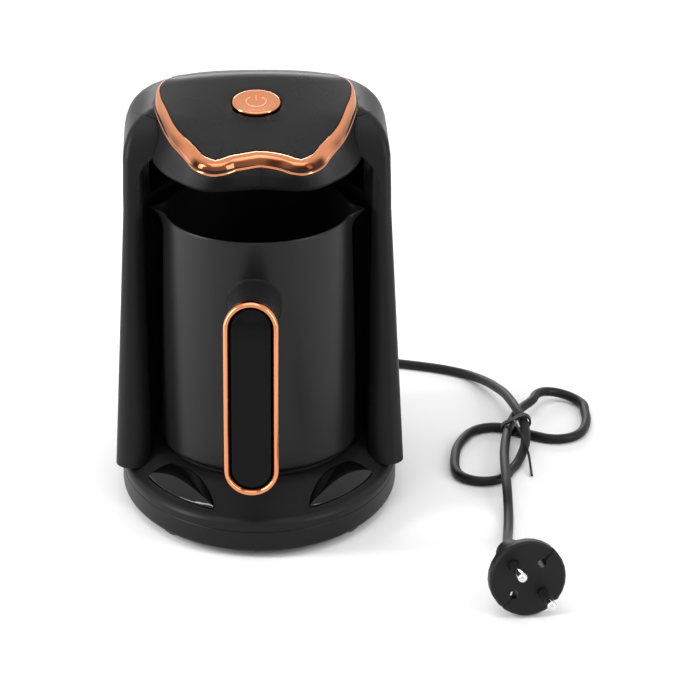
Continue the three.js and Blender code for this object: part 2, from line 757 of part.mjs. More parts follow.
function makeBaseCover() {
  const rimWidth = wall;
  const shell = cut(deckSkin(0, 0), deckSkin(wall, rimWidth, thinned));
  const plateHole = disc(plateHoleRadius, coverBottom - overrun, plateTop + overrun, 0, 0, 36);
  const collar = cut(
    disc(plateHoleRadius + wall, elementBottom, deckZ, 0, 0, 36),
    disc(plateHoleRadius, elementBottom - overrun, deckZ + overrun, 0, 0, 36),
  );
  const seatOutline = bodyRing(bodyBottom, -gap, -gap).map((point) => [point.x, point.y]);
  const seat = prism(shapeOf(seatOutline), bodyBottom - gap, deckZ + overrun);
  const seatFloor = common(
    prism(shapeOf(seatOutline), bodyBottom - gap - wall, bodyBottom - gap),
    deckSkin(0, rimWidth / 2),
  );
  const wellHalfWidth = bayFootRadius * wellShare;
  const well = box(
    [-wellHalfWidth, bayFootRadius + wellMargin, coverBottom - overrun],
    [wellHalfWidth, rearReach - wall - wellMargin, deckZ + overrun],
  );
  let cover = join(cut(shell, plateHole), collar);
  cover = cut(join(cut(cover, seat), seatFloor), well);
  for (const side of [-1, 1]) {
    const pocketBlank = prism(lensOutline(side, lensGroove), coverBottom, deckZ + overrun);
    const pocket = cut(pocketBlank, deckSkin(lensDepth, 0));
    const tubBlank = prism(lensOutline(side, lensGroove + wall), coverBottom, deckZ);
    const tub = common(tubBlank, deckSkin(lensGroove, 0));
    const tubFloor = cut(tub, deckSkin(lensDepth + wall, 0));
    cover = cut(join(cover, tubFloor), pocket);
  }
  return cover;
}

function makeLens(side) {
  const lowBlank = prism(lensOutline(side, 0), coverBottom, deckZ + lensLift);
  const low = common(lowBlank, deckSkin(-lensShoulder, 0));
  const highBlank = prism(lensOutline(side, -lensLift), coverBottom, deckZ + lensLift * 2);
  const high = common(highBlank, deckSkin(-lensLift, 0));
  return cut(join(low, high), deckSkin(lensDepth - gap, -overrun));
}

add('base_cover', makeBaseCover(), satinBlack);
add('leaf_lens_left', makeLens(-1), glossBlack);
add('leaf_lens_right', makeLens(1), glossBlack);

// Heating: plate, seal, element, bracket, sensor and fuse

const sealWidth = plateHoleRadius - plateRadius - 2 * gap;

const plateProfile = [
  [0, plateTop - plateThickness],
  [plateRadius, plateTop - plateThickness],
  [plateRadius, plateTop - plateEdge],
  [plateRadius - plateEdge, plateTop],
  [0, plateTop],
];
add('heating_plate', revolved(plateProfile, 32), aluminium);

const sealLow = plateTop - plateThickness;
const sealHigh = deckZ;
const sealInner = plateRadius + gap;
const sealOuter = sealInner + sealWidth;
const sealProfile = [
  [sealInner, sealLow],
  [sealOuter, sealLow],
  [sealOuter, sealHigh],
  [(sealInner + sealOuter) / 2, plateTop - gap],
  [sealInner, sealHigh],
  [sealInner, sealLow],
];
add('plate_seal', revolved(sealProfile, 32), silicone);

// The element is an open ring with its two cold ends side by side at the rear
const elementOpening = 20; // degrees from the rear to each end

class ElementArc extends THREE.Curve {
  getPoint(share, target = new THREE.Vector3()) {
    const opening = radians(elementOpening);
    const angle = Math.PI / 2 + opening + share * (2 * Math.PI - 2 * opening);
    return target.set(elementRadius * Math.cos(angle), elementRadius * Math.sin(angle), 0);
  }
}

function ovalSection(halfWidth, halfHeight, sides) {
  const points = [];
  for (let i = 0; i < sides; i += 1) {
    const angle = (2 * Math.PI * (i + 0.5)) / sides;
    points.push([halfWidth * Math.cos(angle), halfHeight * Math.sin(angle)]);
  }
  return shapeOf(points);
}

const elementSteps = 24;
const elementTube = new THREE.ExtrudeGeometry(ovalSection(elementThickness / 2, elementThickness / 2, 6), {
  steps: elementSteps,
  extrudePath: new ElementArc(),
  bevelEnabled: false,
});
elementTube.translate(0, 0, (elementTop + elementBottom) / 2);
add('heating_element', facedOut(elementTube), steel);

const bracketFoot = footHeight + trayFloor + gap;
const bracketShape = shapeOf([
  [-bracketHalfLength - bracketTab, bracketFoot],
  [-bracketHalfLength + bracketThickness, bracketFoot],
  [-bracketHalfLength + bracketThickness, bracketTop - bracketThickness],
  [bracketHalfLength - bracketThickness, bracketTop - bracketThickness],
  [bracketHalfLength - bracketThickness, bracketFoot],
  [bracketHalfLength + bracketTab, bracketFoot],
  [bracketHalfLength + bracketTab, bracketFoot + bracketThickness],
  [bracketHalfLength, bracketFoot + bracketThickness],
  [bracketHalfLength, bracketTop],
  [-bracketHalfLength, bracketTop],
  [-bracketHalfLength, bracketFoot + bracketThickness],
  [-bracketHalfLength - bracketTab, bracketFoot + bracketThickness],
]);
add('element_bracket', towardsFront(bracketShape, bracketWidth / 2, -bracketWidth / 2), steel);

const sensorRadius = 5;
const sensorTip = 3;
const sensorEdge = 1.25;
const sensorProfile = [
  [0, bracketTop + gap],
  [sensorRadius, bracketTop + gap],
  [sensorRadius, elementTop - sensorRadius / 2],
  [sensorTip, elementTop - sensorEdge],
  [sensorTip, elementTop],
  [0, elementTop],
];
add('temperature_sensor', revolved(sensorProfile, 16), steel);

const fuseRadius = 2;
const fuseLength = 11;
const fuseY = elementRadius / 2;
const fuse = new THREE.CapsuleGeometry(fuseRadius, fuseLength, 2, 10);
fuse.rotateZ(Math.PI / 2);
fuse.translate(0, fuseY, elementTop - fuseRadius);
add('thermal_fuse', solid(fuse), componentGrey);

// Body: the front moulding with the ears and the bay, and the rear cover

const splitY = 41; // the rear cover meets the front moulding this far behind the pot's axis
const glandX = 15;
const glandZ = 30;
const glandRadius = 4.6;
const glandFlangeRadius = 6.6;
const glandLength = 24;
const glandTipRadius = 3.1;

const upperGrowShare = 0.4;
const upperGrow = -bayTopRadius * upperGrowShare; // narrows the bay until the head's own outline bounds it
const upperShare = 0.865; // where the ear's nose then lies between its inner and its outer side

function aboveHead(body, low) {
  return common(body, box([-seamReach, -headFrontReach, low], [seamReach, seamReach, domeTop + overrun]));
}

// Above the underside of the head the ears close in on the head's walls
function bodyShell() {
  const plain = (inset, levels) => loft(levels.map((z) => bodyRing(z, inset)));
  const narrow = (inset) => loft(bodyLevels(inset).map((z) => bodyRing(z, inset, upperGrow, upperShare)));
  const low = bodyLevels(0).filter((z) => z < headBottom + headRound);
  const hollowLow = bodyLevels(wall).filter((z) => z < headBottom + headRound);
  const outer = plain(0, [...low, headBottom + headRound]);
  const outerTop = cut(aboveHead(narrow(0), headBottom), headBlock(-gap, headBottom - overrun));
  const bottomRing = bodyRing(bodyBottom, wall).map((point) => point.setZ(bodyBottom - overrun));
  const hollow = loft([bottomRing, ...[...hollowLow, headBottom + headRound].map((z) => bodyRing(z, wall))]);
  const headWall = headBlock(-gap - wall, headBottom - overrun, thinned);
  const hollowTop = cut(aboveHead(narrow(wall), headBottom + wall), headWall);
  return cut(join(outer, outerTop), hollow, hollowTop);
}

const shell = bodyShell();
const bodySolid = loft([bodyBottom, rimZ, shoulderZ].map((z) => bodyRing(z, 0)));
const trimSpace = cut(upright(inward(headOutline, -trimLip - gap), slabLow, slabHigh), underTop(trimSeat));
const headSpace = join(
  headBlock(-gap, headBottom - gap),
  seamRegion(-gap, coverBottomZ - gap),
  trimSpace,
);
const bayGuard = join(
  loft([
    [bodyBottom - overrun, bayFootRadius],
    [rimZ, bayTopRadius],
    [domeTop + overrun, bayTopRadius],
  ].map(([z, radius]) => roundRing(radius + wall + gap, z))),
  headBlock(-wall - 2 * gap, headBottom, thinned),
);
const rearRegion = cut(
  box([-seamReach, splitY, bodyBottom - overrun], [seamReach, seamReach, coverBottomZ - gap]),
  bayGuard,
);
const rearRegionGrown = cut(
  box([-seamReach, splitY - gap, bodyBottom - overrun], [seamReach, seamReach, coverBottomZ + overrun]),
  bayGuard.scale([1 - gap / bayTopRadius, 1 - gap / bayTopRadius, 1]),
);

const bayScale = 1 - wall / 2 / bayTopRadius; // shrinks the guard into the middle of the bay's wall

const boardClearance = 3.4;
const controlBoardY = bayReach + wall + boardClearance;
const controlBoardHalfWidth = 26;
const controlBoardRise = 22;
const controlBoardLength = 84;
const controlBoardLow = bodyBottom + controlBoardRise;
const controlBoardHigh = controlBoardLow + controlBoardLength;
const standoffRadius = 3;
const standoffInset = 5;

function makeBodyShell() {
  let body = cut(shell, headSpace, rearRegionGrown);
  for (const side of [-1, 1]) {
    for (const z of [controlBoardLow + standoffInset, controlBoardHigh - standoffInset]) {
      const x = side * (controlBoardHalfWidth - standoffInset);
      const wallY = Math.sqrt(bayFootRadius ** 2 - x ** 2) + wall / 2;
      const post = rod(standoffRadius, wallY, controlBoardY - gap, x, z, 8);
      const standoff = cut(post, bayGuard.scale([bayScale, bayScale, 1]));
      body = body.add(standoff);
    }
  }
  return [-rearScrewX, rearScrewX].reduce(addRearBoss, body);
}

const ventShare = 0.56; // of the bay's height, up to the lowest vent

function makeRearCover() {
  const ventCount = 7;
  const ventPitch = 7;
  const ventWidth = 2.6;
  const ventHalfLength = 19;
  const ventLow = bodyBottom + (rimZ - bodyBottom) * ventShare;
  let cover = cut(common(shell, rearRegion), headSpace);
  for (let i = 0; i < ventCount; i += 1) {
    const z = ventLow + i * ventPitch;
    const slot = new THREE.Shape();
    const half = ventHalfLength - ventWidth / 2;
    slot.absarc(half, z, ventWidth / 2, -Math.PI / 2, Math.PI / 2);
    slot.absarc(-half, z, ventWidth / 2, Math.PI / 2, (3 * Math.PI) / 2);
    cover = cover.subtract(extruded(slot, -seamReach, -controlBoardY - boardThickness, alongMinusY, 3));
  }
  cover = [-rearScrewX, rearScrewX].reduce(addRearPad, cover);
  return cut(cover, rod(glandRadius + gap, controlBoardY, rearReach + overrun, glandX, glandZ, 24));
}

// A screw and its counterbored pad near each upper corner of the rear cover

const rearScrewX = 22;
const rearScrewDrop = 3; // below the pot's rim
const rearScrewZ = rimZ - rearScrewDrop;
const rearScrewSink = 7.5;
const rearSeatY = rearReach - rearScrewSink;
const rearPad = 3;
const counterboreRadius = screwHeadRadius + screwHoleClearance;
const padRadius = counterboreRadius + bossWall;
const rearScrewLength = 9;

function addRearBoss(body, x) {
  const foot = Math.sqrt(bayFootRadius ** 2 - x ** 2);
  const end = rearSeatY - rearPad - gap;
  const boss = cut(rod(bossRadius, foot, end, x, rearScrewZ, 10), bayGuard.scale([bayScale, bayScale, 1]));
  const start = rearSeatY - rearScrewLength - gap;
  return cut(join(body, boss), rod(screwRadius + screwHoleClearance, start, rearSeatY, x, rearScrewZ, 8));
}

function addRearPad(cover, x) {
  const pad = common(rod(padRadius, rearSeatY - rearPad, rearReach + overrun, x, rearScrewZ, 14), bodySolid);
  const bore = rod(counterboreRadius, rearSeatY, rearReach + overrun, x, rearScrewZ, 14);
  const start = rearSeatY - rearPad - overrun;
  const hole = rod(screwRadius + screwHoleClearance, start, rearSeatY + overrun, x, rearScrewZ, 8);
  return cut(join(cover, pad), bore, hole);
}

add('body_shell', makeBodyShell(), satinBlack);
add('rear_cover', makeRearCover(), satinBlack);
for (const [side, x] of [['left', -rearScrewX], ['right', rearScrewX]]) {
  const screw = makeScrew(0, screwHeadHeight, rearScrewLength, screwHeadRadius, screwRadius)
    .rotate([90, 0, 0])
    .translate(x, rearSeatY + gap, rearScrewZ);
  add(`rear_screw_${side}`, screw, steel);
}
add('head_housing', makeHeadHousing(), satinBlack);
add('copper_trim', makeTrim(), copper);
add('top_panel', makePanel(), panelBlack);

// Underside of the head: a plate with a window that the sensor looks through into the pot

const windowRadius = 7;
const windowFlange = 1.5;
const windowY = 12;
const sensorHeight = 7;

function makeHeadFloor() {
  const outline = thinned(headRing(headBottom + gap, wall + headRound * headRoundShares[0][1] + gap));
  let plate = upright(outline, headBottom + gap, floorTop);
  plate = cut(plate, disc(windowRadius + gap, headBottom - overrun, floorTop + overrun, 0, windowY, 16));
  for (const side of [-1, 1]) {
    const hole = disc(
      screwRadius + screwHoleClearance, headBottom - overrun, floorTop + overrun,
      side * headScrewX, headScrewY, 8);
    plate = plate.subtract(hole);
  }
  return plate;
}

const windowTop = floorTop + gap + windowFlange;
const windowProfile = [
  [0, headBottom + gap],
  [windowRadius, headBottom + gap],
  [windowRadius, floorTop + gap],
  [windowRadius + windowFlange, floorTop + gap],
  [windowRadius + windowFlange, windowTop],
  [0, windowTop],
];
const canRadius = 4.9;
const canProfile = [
  [0, windowTop + gap],
  [windowRadius, windowTop + gap],
  [windowRadius, windowTop + gap + windowFlange],
  [canRadius, windowTop + gap + windowFlange],
  [canRadius, windowTop + sensorHeight],
  [0, windowTop + sensorHeight],
];
add('head_floor', makeHeadFloor(), satinBlack);
add('sensor_window', revolved(windowProfile, 16).translate(0, windowY, 0), windowSmoke);
add('boil_sensor', revolved(canProfile, 14).translate(0, windowY, 0), steel);
for (const [side, x] of [['left', -headScrewX], ['right', headScrewX]]) {
  const screw = makeScrew(headBottom, screwHeadHeight, headScrewLength, screwHeadRadius, screwRadius);
  add(`head_screw_${side}`, screw.translate(x, headScrewY, 0), steel);
}

// Button: a cap held under the top panel by its flange, over a switch on a small board

const capEdge = 0.7;
const dishInset = 1.9;
const dishDepth = 0.4;
const flangeTop = -panelThickness - gap;
const capFoot = flangeTop - flangeThickness;
const capProfile = [
  [0, capFoot],
  [flangeRadius, capFoot],
  [flangeRadius, flangeTop],
  [buttonRadius, flangeTop],
  [buttonRadius, buttonProud - capEdge],
  [buttonRadius - capEdge, buttonProud],
  [buttonRadius - dishInset, buttonProud],
  [buttonRadius - dishInset - dishDepth, buttonProud - dishDepth],
  [0, buttonProud - dishDepth],
];
add('power_button', placed(revolved(capProfile, 32)), copper);

const switchWidth = 6;
const switchHeight = 3.5;
const plungerRadius = 1.75;
const plungerHeight = 2.9;
const plungerTop = capFoot - gap;
const switchTop = -switchDrop + switchHeight;
const plungerBore = plungerTop - plungerHeight - buttonTravel - gap;
const boardHalfWidth = boardBossX + boardBossRadius + 1;
const boardHalfDepth = 8;
const switchHalf = switchWidth / 2;
const switchBox = box([-switchHalf, -switchHalf, -switchDrop], [switchHalf, switchHalf, switchTop]);
const plungerHole = disc(plungerRadius + gap, plungerBore, switchTop + overrun, 0, 0, 16);
const plunger = disc(plungerRadius, plungerTop - plungerHeight, plungerTop, 0, 0, 16);
const buttonBoard = box(
  [-boardHalfWidth, -boardHalfDepth, -switchDrop - gap - boardThickness],
  [boardHalfWidth, boardHalfDepth, -switchDrop - gap],
);
add('tact_switch', placed(cut(switchBox, plungerHole)), componentGrey);
add('switch_plunger', placed(plunger), satinBlack);
add('button_board', placed(buttonBoard), circuitGreen);

// Control board on the body's standoffs, with its parts facing the vents of the rear cover

const boardFace = controlBoardY + boardThickness;
const partFoot = boardFace + gap;
const partDepth = 14.5;
const onBoard = (x, z, width, depth, height) => box(
  [x - width / 2, partFoot, controlBoardLow + z - height / 2],
  [x + width / 2, partFoot + depth, controlBoardLow + z + height / 2],
);

const boardBox = box(
  [-controlBoardHalfWidth, controlBoardY, controlBoardLow],
  [controlBoardHalfWidth, boardFace, controlBoardHigh],
);
add('control_board', boardBox, circuitGreen);

const transformerWidth = 24;
const transformerHeight = 20;
const transformerX = 10;
const transformerZ = 20;
const coilInset = 3;
const transformerCore = onBoard(transformerX, transformerZ, transformerWidth, partDepth - coilInset, transformerHeight);
const transformerCoil = onBoard(
  transformerX, transformerZ, transformerWidth - 2 * coilInset, partDepth, transformerHeight - 2 * coilInset);
add('transformer', join(transformerCore, transformerCoil), componentGrey);

const relayWidth = 19;
const relayHeight = 15.5;
const relayX = -14;
add('relay', onBoard(relayX, transformerZ, relayWidth, partDepth, relayHeight), relayBlue);

const capacitorRadius = 5;
const capacitorX = -12;
const capacitorZ = 46;
const capacitor = rod(capacitorRadius, partFoot, partFoot + partDepth, capacitorX, controlBoardLow + capacitorZ, 20);
add('capacitor', capacitor, componentGrey);

const terminalWidth = 20;
const terminalHeight = 8;
const terminalDepth = 11;
const terminalX = 10;
const terminalZ = 46;
const terminalBore = 1.7;
let terminals = onBoard(terminalX, terminalZ, terminalWidth, terminalDepth, terminalHeight);
for (const share of [-1 / 3, 0, 1 / 3]) {
  const x = terminalX + share * terminalWidth;
  terminals = terminals.subtract(rod(
    terminalBore, partFoot + terminalDepth / 2, partFoot + terminalDepth + overrun, x, controlBoardLow + terminalZ, 10));
}
add('terminal_block', terminals, circuitGreen);

const buzzerRadius = 6;
const buzzerHeight = 8;
const buzzerZ = 70;
const buzzerSound = 1.2;
const buzzerAt = (radius, y0, y1, sides) => rod(radius, y0, y1, 0, controlBoardLow + buzzerZ, sides);
const buzzerEnd = partFoot + buzzerHeight;
const buzzer = cut(
  buzzerAt(buzzerRadius, partFoot, buzzerEnd, 20),
  buzzerAt(buzzerSound, buzzerEnd - buzzerSound, buzzerEnd + overrun, 10),
);
add('buzzer', buzzer, componentGrey);

// Pot: a thin tapered shell with a pouring spout at each side

const potWall = 1.2;
const potFloor = 1.6;
const potCorner = 3;
const spoutTurn = 12; // degrees from a spout's tip to where it leaves the round
const spoutHeight = 25;
const spoutRisePower = 1.7;
const spoutSidePower = 1.15;
const quarterShares = [0, 0.04, 0.09, 0.14, 0.25, 0.39, 0.54, 0.69, 0.84, 1];
const spoutLevelShares = [0, 0.4, 0.7, 0.88, 1];

const potTurns = [0, 1, 2, 3].flatMap((quarter) => {
  const shares = quarter % 2 ? quarterShares.map((share) => 1 - share).reverse() : quarterShares;
  return shares.slice(0, -1).map((share) => ((quarter + share) * Math.PI) / 2);
});
const potRadius = (z) => mix(potFootRadius, potRimRadius, (z - potBottom) / potHeight);

function potRing(z, inset, tuck = 0) {
  const rise = clamped((z - rimZ + spoutHeight) / spoutHeight) ** spoutRisePower;
  return potTurns.map((angle) => {
    const off = Math.asin(Math.abs(Math.sin(angle))) / radians(spoutTurn);
    const reach = spoutReach * rise * clamped(1 - off) ** spoutSidePower;
    const radius = potRadius(z) - inset - tuck + reach;
    return new THREE.Vector3(radius * Math.cos(angle), radius * Math.sin(angle), z);
  });
}

function potBody(inset, low, high) {
  const corner = potCorner - Math.max(0, inset);
  const rounding = spread(0, Math.PI / 2, 3).map((angle) => [
    low + corner * (1 - Math.cos(angle)),
    corner * (1 - Math.sin(angle)),
  ]);
  const spout = spoutLevelShares.map((share) => [rimZ - spoutHeight * (1 - share), 0]);
  const top = high > rimZ ? [[high, 0]] : [];
  return loft([...rounding, ...spout, ...top].map(([z, tuck]) => potRing(z, inset, tuck)));
}

const potPieces = new THREE.Group();
machine.add(potPieces);
const turned = (body) => body.rotate([0, 0, potTurn]);
const potShell = cut(potBody(0, potBottom, rimZ), potBody(potWall, potBottom + potFloor, rimZ + overrun));
add('pot_shell', turned(potShell), potBlack, potPieces);

// Handle: a long rounded plate on a short bracket, in three layers from the rear to the front

const handleTop = rimZ - handleDrop;
const handleBottom = handleTop - handleLength;
const handleRadius = handleWidth / 2;
const leanPower = 2.6;
const ringWidth = 3.1;
const ringDepth = 5;
const faceRecess = 0.5;
const faceThickness = 2.7;
const coreInset = 0.4;
const coreEdge = 1.8;
const bandSteps = 6;
const handleFront = (z) => handleReach - handleLean * clamped((z - handleBottom) / handleLength) ** leanPower;

// The space between two depths behind the handle's curved front
function handleBand(near, far) {
  const heights = spread(handleBottom - overrun, handleTop + overrun, bandSteps);
  const front = heights.map((z) => [-handleFront(z) + near, z]);
  const rear = heights.map((z) => [-handleFront(z) + far, z]).reverse();
  return acrossX(shapeOf([...front, ...rear]), -handleWidth, handleWidth);
}

function stadium(inset) {
  const shape = new THREE.Shape();
  shape.absarc(0, handleTop - handleRadius, handleRadius - inset, 0, Math.PI);
  shape.absarc(0, handleBottom + handleRadius, handleRadius - inset, Math.PI, 2 * Math.PI);
  const rear = -handleReach + handleThickness + handleLean + overrun;
  return towardsFront(shape, rear, -handleReach - overrun, 9);
}

const screwFloor = faceRecess + faceThickness + gap;
const bracketDrop = 30.3; // from the pot's rim down to the middle of the handle's bracket
const handleScrewZ = rimZ - bracketDrop;
const handleScrewFront = -handleFront(handleScrewZ);
const handleScrewSeat = handleScrewFront + screwFloor + counterboreRadius;
const handleScrewLength = 21;

function makeHandleCore() {
  const seat = common(stadium(ringWidth + gap), handleBand(screwFloor, ringDepth + 2 * gap));
  const middle = common(stadium(coreInset), handleBand(ringDepth + gap, handleThickness - coreEdge));
  const rear = common(stadium(coreInset + coreEdge), handleBand(handleThickness - coreEdge - gap, handleThickness));
  const counterbore = rod(counterboreRadius, handleScrewFront - overrun, handleScrewSeat, 0, handleScrewZ, 20);
  const hole = rod(screwRadius + screwHoleClearance, handleScrewFront, -potRimRadius, 0, handleScrewZ, 12);
  return cut(join(seat, middle, rear), counterbore, hole);
}

const bracketHalfWidth = 11.5;
const bracketHalfHeight = 14;
const bracketPower = 3;
const bracketTaper = 0.9; // share of its size that the bracket keeps where it meets the handle
const bracketPoints = 24;
const bracketSink = 4.3; // its blank starts this far inside the pot's rim, and is cut back to the wall

function makeHandleBracket() {
  const rings = [[-potRimRadius + bracketSink, 1], [-handleReach, bracketTaper]].map(([y, scale]) => (
    spread(0, 2 * Math.PI, bracketPoints).slice(0, -1).map((angle) => {
      const [x, z] = roundedPoint(angle, bracketHalfWidth * scale, bracketHalfHeight * scale, bracketPower);
      return new THREE.Vector3(x, y, handleScrewZ + z);
    })
  ));
  const behind = handleBand(-handleThickness, handleThickness + gap);
  const end = handleScrewSeat + handleScrewLength;
  const bore = rod(screwRadius + screwHoleClearance, -handleReach, end + gap, 0, handleScrewZ, 12);
  return cut(loft(rings, ['x', 'z']), potBody(-gap, potBottom, rimZ), behind, bore);
}

const handleScrew = makeScrew(0, screwHeadHeight, handleScrewLength, screwHeadRadius, screwRadius)
  .rotate([-90, 0, 0])
  .translate(0, handleScrewSeat - gap, handleScrewZ);
const handleRing = cut(common(stadium(0), handleBand(0, ringDepth)), stadium(ringWidth));
const handleFace = common(stadium(ringWidth + gap), handleBand(faceRecess, faceRecess + faceThickness));
add('handle_bracket', turned(makeHandleBracket()), satinBlack, potPieces);
add('handle_core', turned(makeHandleCore()), satinBlack, potPieces);
add('handle_ring', turned(handleRing), copper, potPieces);
add('handle_face', turned(handleFace), glossBlack, potPieces);
add('handle_screw', turned(handleScrew), steel, potPieces);

// Cord: it leaves a gland in the rear cover, lies in two tied loops at the machine's side, and
// ends at a round plug that stands on its edge

const glandInnerRadius = 6;
const glandCollar = 2.2;
const glandEdge = 0.9;
const glandFace = rearReach + gap;
const glandTip = rearReach + glandLength;
const collarFace = rearReach - 2 * wall - gap;
const glandProfile = [
  [0, collarFace - glandCollar],
  [glandInnerRadius, collarFace - glandCollar],
  [glandInnerRadius, collarFace],
  [glandRadius, collarFace],
  [glandRadius, glandFace],
  [glandFlangeRadius, glandFace],
  [glandFlangeRadius, glandFace + glandCollar],
  [glandRadius, glandFace + glandCollar + glandEdge],
  [glandTipRadius, glandTip],
  [0, glandTip],
];
const gland = revolved(glandProfile, 16).rotate([-90, 0, 0]).translate(glandX, 0, glandZ);
add('cord_gland', gland, rubber);

// Chosen by hand, in millimetres
const cordRoute = [
  [15, 107.3, 30], [15, 110.5, 30], [15.9, 116.7, 27.5], [17.8, 120.8, 22.4], [20.6, 122.6, 17],
  [28, 128.5, 8.4], [35.7, 132.2, 4.2], [44.9, 134.1, 2.6], [57.7, 133.7, 2.4], [70.2, 131.4, 2.4],
  [82.5, 127.7, 2.4], [94.5, 123.3, 2.4], [105.6, 117.1, 2.5], [111.8, 109.9, 3.4], [116.7, 98.4, 5.9],
  [120, 86.3, 8.6], [122.9, 74.1, 11], [125.1, 61.6, 12.6], [127.3, 49, 12.9], [129.6, 36.7, 10.8],
  [128.8, 24.5, 7.1], [124.4, 13.3, 2.9], [120, 4.9, 2.4], [117.2, -1.1, 2.4], [111.8, -5, 2.4],
  [105.8, -5.9, 2.4], [100.1, -3.9, 2.4], [95.8, 0.6, 2.4], [94, 7.1, 2.4], [94.5, 19.7, 2.4],
  [96.7, 32.2, 2.4], [101.7, 43.9, 2.4], [105.4, 49.1, 2.4], [110.7, 52.5, 2.4], [116.9, 53.3, 2.4],
  [122.9, 51.3, 2.4], [133.6, 44.2, 2.4], [142.1, 39.6, 2.4], [148.4, 39.2, 2.4], [154.1, 41.5, 2.4],
  [158.4, 46.3, 2.4], [162.3, 58.4, 2.4], [162.9, 71, 2.4], [162.9, 77.6, 2.4], [159.8, 83.5, 2.7],
  [154.7, 86.8, 3.8], [148.8, 87.3, 5.2], [143.1, 84.7, 6.6], [139.1, 79.3, 7.5], [136.9, 73.5, 7.5],
  [129.9, 62.8, 7.6], [125.1, 51, 7.7], [121.7, 38.6, 7.6], [119.4, 26.1, 7.6], [117.8, 13.4, 7.6],
  [116.9, 0.6, 7.7], [116.4, -12.2, 7.6], [115.9, -24.9, 6.5], [115.4, -37.3, 3.4], [114.4, -49.9, 2.4],
  [113, -62.6, 3.2], [111.7, -74.9, 6.6], [110.7, -87, 10.4],
];
// The tie holds the cord after these counts of steps along the route
const tieSteps = [18.7, 51.8];

const plugX = 115.5;
const plugY = -133.6;
const plugYaw = 8; // degrees, from straight ahead towards the right
const plugTilt = 9; // degrees upwards
const plugLength = 38;
const plugDisc = 5;

function plugFrame() {
  const yaw = radians(plugYaw);
  const tilt = radians(plugTilt);
  const ahead = new THREE.Vector3(
    Math.sin(yaw) * Math.cos(tilt), -Math.cos(yaw) * Math.cos(tilt), Math.sin(tilt));
  const right = new THREE.Vector3(Math.cos(yaw), Math.sin(yaw), 0);
  const up = new THREE.Vector3().crossVectors(ahead, right);
  const height = plugRadius * Math.cos(tilt) + plugDisc * Math.sin(tilt) + gap;
  return new THREE.Matrix4().makeBasis(right, up, ahead).setPosition(plugX, plugY, height);
}

const plugPlace = plugFrame();
const onPlug = (body) => body.transform(plugPlace.toArray());
const behindPlug = (distance) => new THREE.Vector3(0, 0, -distance).applyMatrix4(plugPlace);

// Laid through the points of the route at one ring each, closer where the cord bends tightly
class CordPath extends THREE.CatmullRomCurve3 {
  getUtoTmapping(share) {
    return share;
  }
}

const cordPoints = [
  ...cordRoute.map((point) => new THREE.Vector3(...point)),
  behindPlug(plugLength + gap + cordDiameter),
  behindPlug(plugLength + gap),
];
const cordPath = new CordPath(cordPoints, false, 'centripetal');
const cordRadius = cordDiameter / 2;
const cordSides = 8;
const cordTube = new THREE.ExtrudeGeometry(ovalSection(cordRadius, cordRadius, cordSides), {
  steps: cordPoints.length - 1,
  extrudePath: cordPath,
  bevelEnabled: false,
});
add('power_cord', facedOut(cordTube), rubber);

// The least gap between two stretches of the cord that lie apart along it
function selfGap(points, apart) {
  const fine = points.slice(1).flatMap((point, i) => (
    spread(0, 1, 4).slice(1).map((share) => points[i].clone().lerp(point, share))
  ));
  const along = [0];
  fine.slice(1).forEach((point, i) => along.push(along[i] + point.distanceTo(fine[i])));
  let least = Infinity;
  fine.forEach((point, i) => {
    for (let j = i + 1; j < fine.length; j += 1) {
      if (along[j] - along[i] > apart) least = Math.min(least, point.distanceTo(fine[j]));
    }
  });
  return [least - cordDiameter, along.at(-1)];
}

const cordApart = 23; // stretches nearer than this along the cord aren't compared
const [cordGap, cordLength] = selfGap(cordPoints, cordApart);
console.log(`cord: ${cordLength.toFixed(0)} mm long, least gap to itself ${cordGap.toFixed(2)} mm`);

// Tie: a flat wire bent round both strands, with one end left long

const tieWidth = 3;
const tieThickness = 0.8;
const tieClearance = 0.8;
const tailRadius = 0.6;
const tailRoute = [
  [124.5, 41.2, 12.3], [125, 35.5, 13.2], [125.6, 30, 13.1], [126.4, 25.6, 12.4], [128, 20.6, 10.2],
  [129.7, 16.4, 5.8], [130.2, 10, 1.9], [130.2, 2.5, 0.9],
];

function makeTie() {
  const [first, second] = tieSteps.map((step) => cordPath.getPoint(step / (cordPoints.length - 1)));
  const [alongFirst, alongSecond] = tieSteps.map((step) => cordPath.getTangent(step / (cordPoints.length - 1)));
  const right = new THREE.Vector3().subVectors(first, second);
  const apart = right.length();
  const along = new THREE.Vector3().addVectors(alongFirst, alongSecond).normalize();
  right.normalize();
  const up = new THREE.Vector3().crossVectors(along, right).normalize();
  const square = new THREE.Vector3().crossVectors(right, up);
  const place = new THREE.Matrix4().makeBasis(right, up, square).setPosition(second);
  const loop = (grow) => {
    const shape = new THREE.Shape();
    shape.absarc(apart, 0, cordRadius + tieClearance + grow, -Math.PI / 2, Math.PI / 2);
    shape.absarc(0, 0, cordRadius + tieClearance + grow, Math.PI / 2, (3 * Math.PI) / 2);
    return shape;
  };
  const band = cut(
    prism(loop(tieThickness), -tieWidth / 2, tieWidth / 2, 8),
    prism(loop(0), -tieWidth, tieWidth, 8),
  ).transform(place.toArray());
  const tail = new THREE.ExtrudeGeometry(ovalSection(tailRadius, tailRadius, 5), {
    steps: 14,
    extrudePath: new THREE.CatmullRomCurve3(tailRoute.map((point) => new THREE.Vector3(...point))),
    bevelEnabled: false,
  });
  return join(band, facedOut(tail));
}

add('cord_tie', makeTie(), rubber);

// Plug: a thin disc with a keyhole slot at each side, a tapering grip, two pins with sleeves

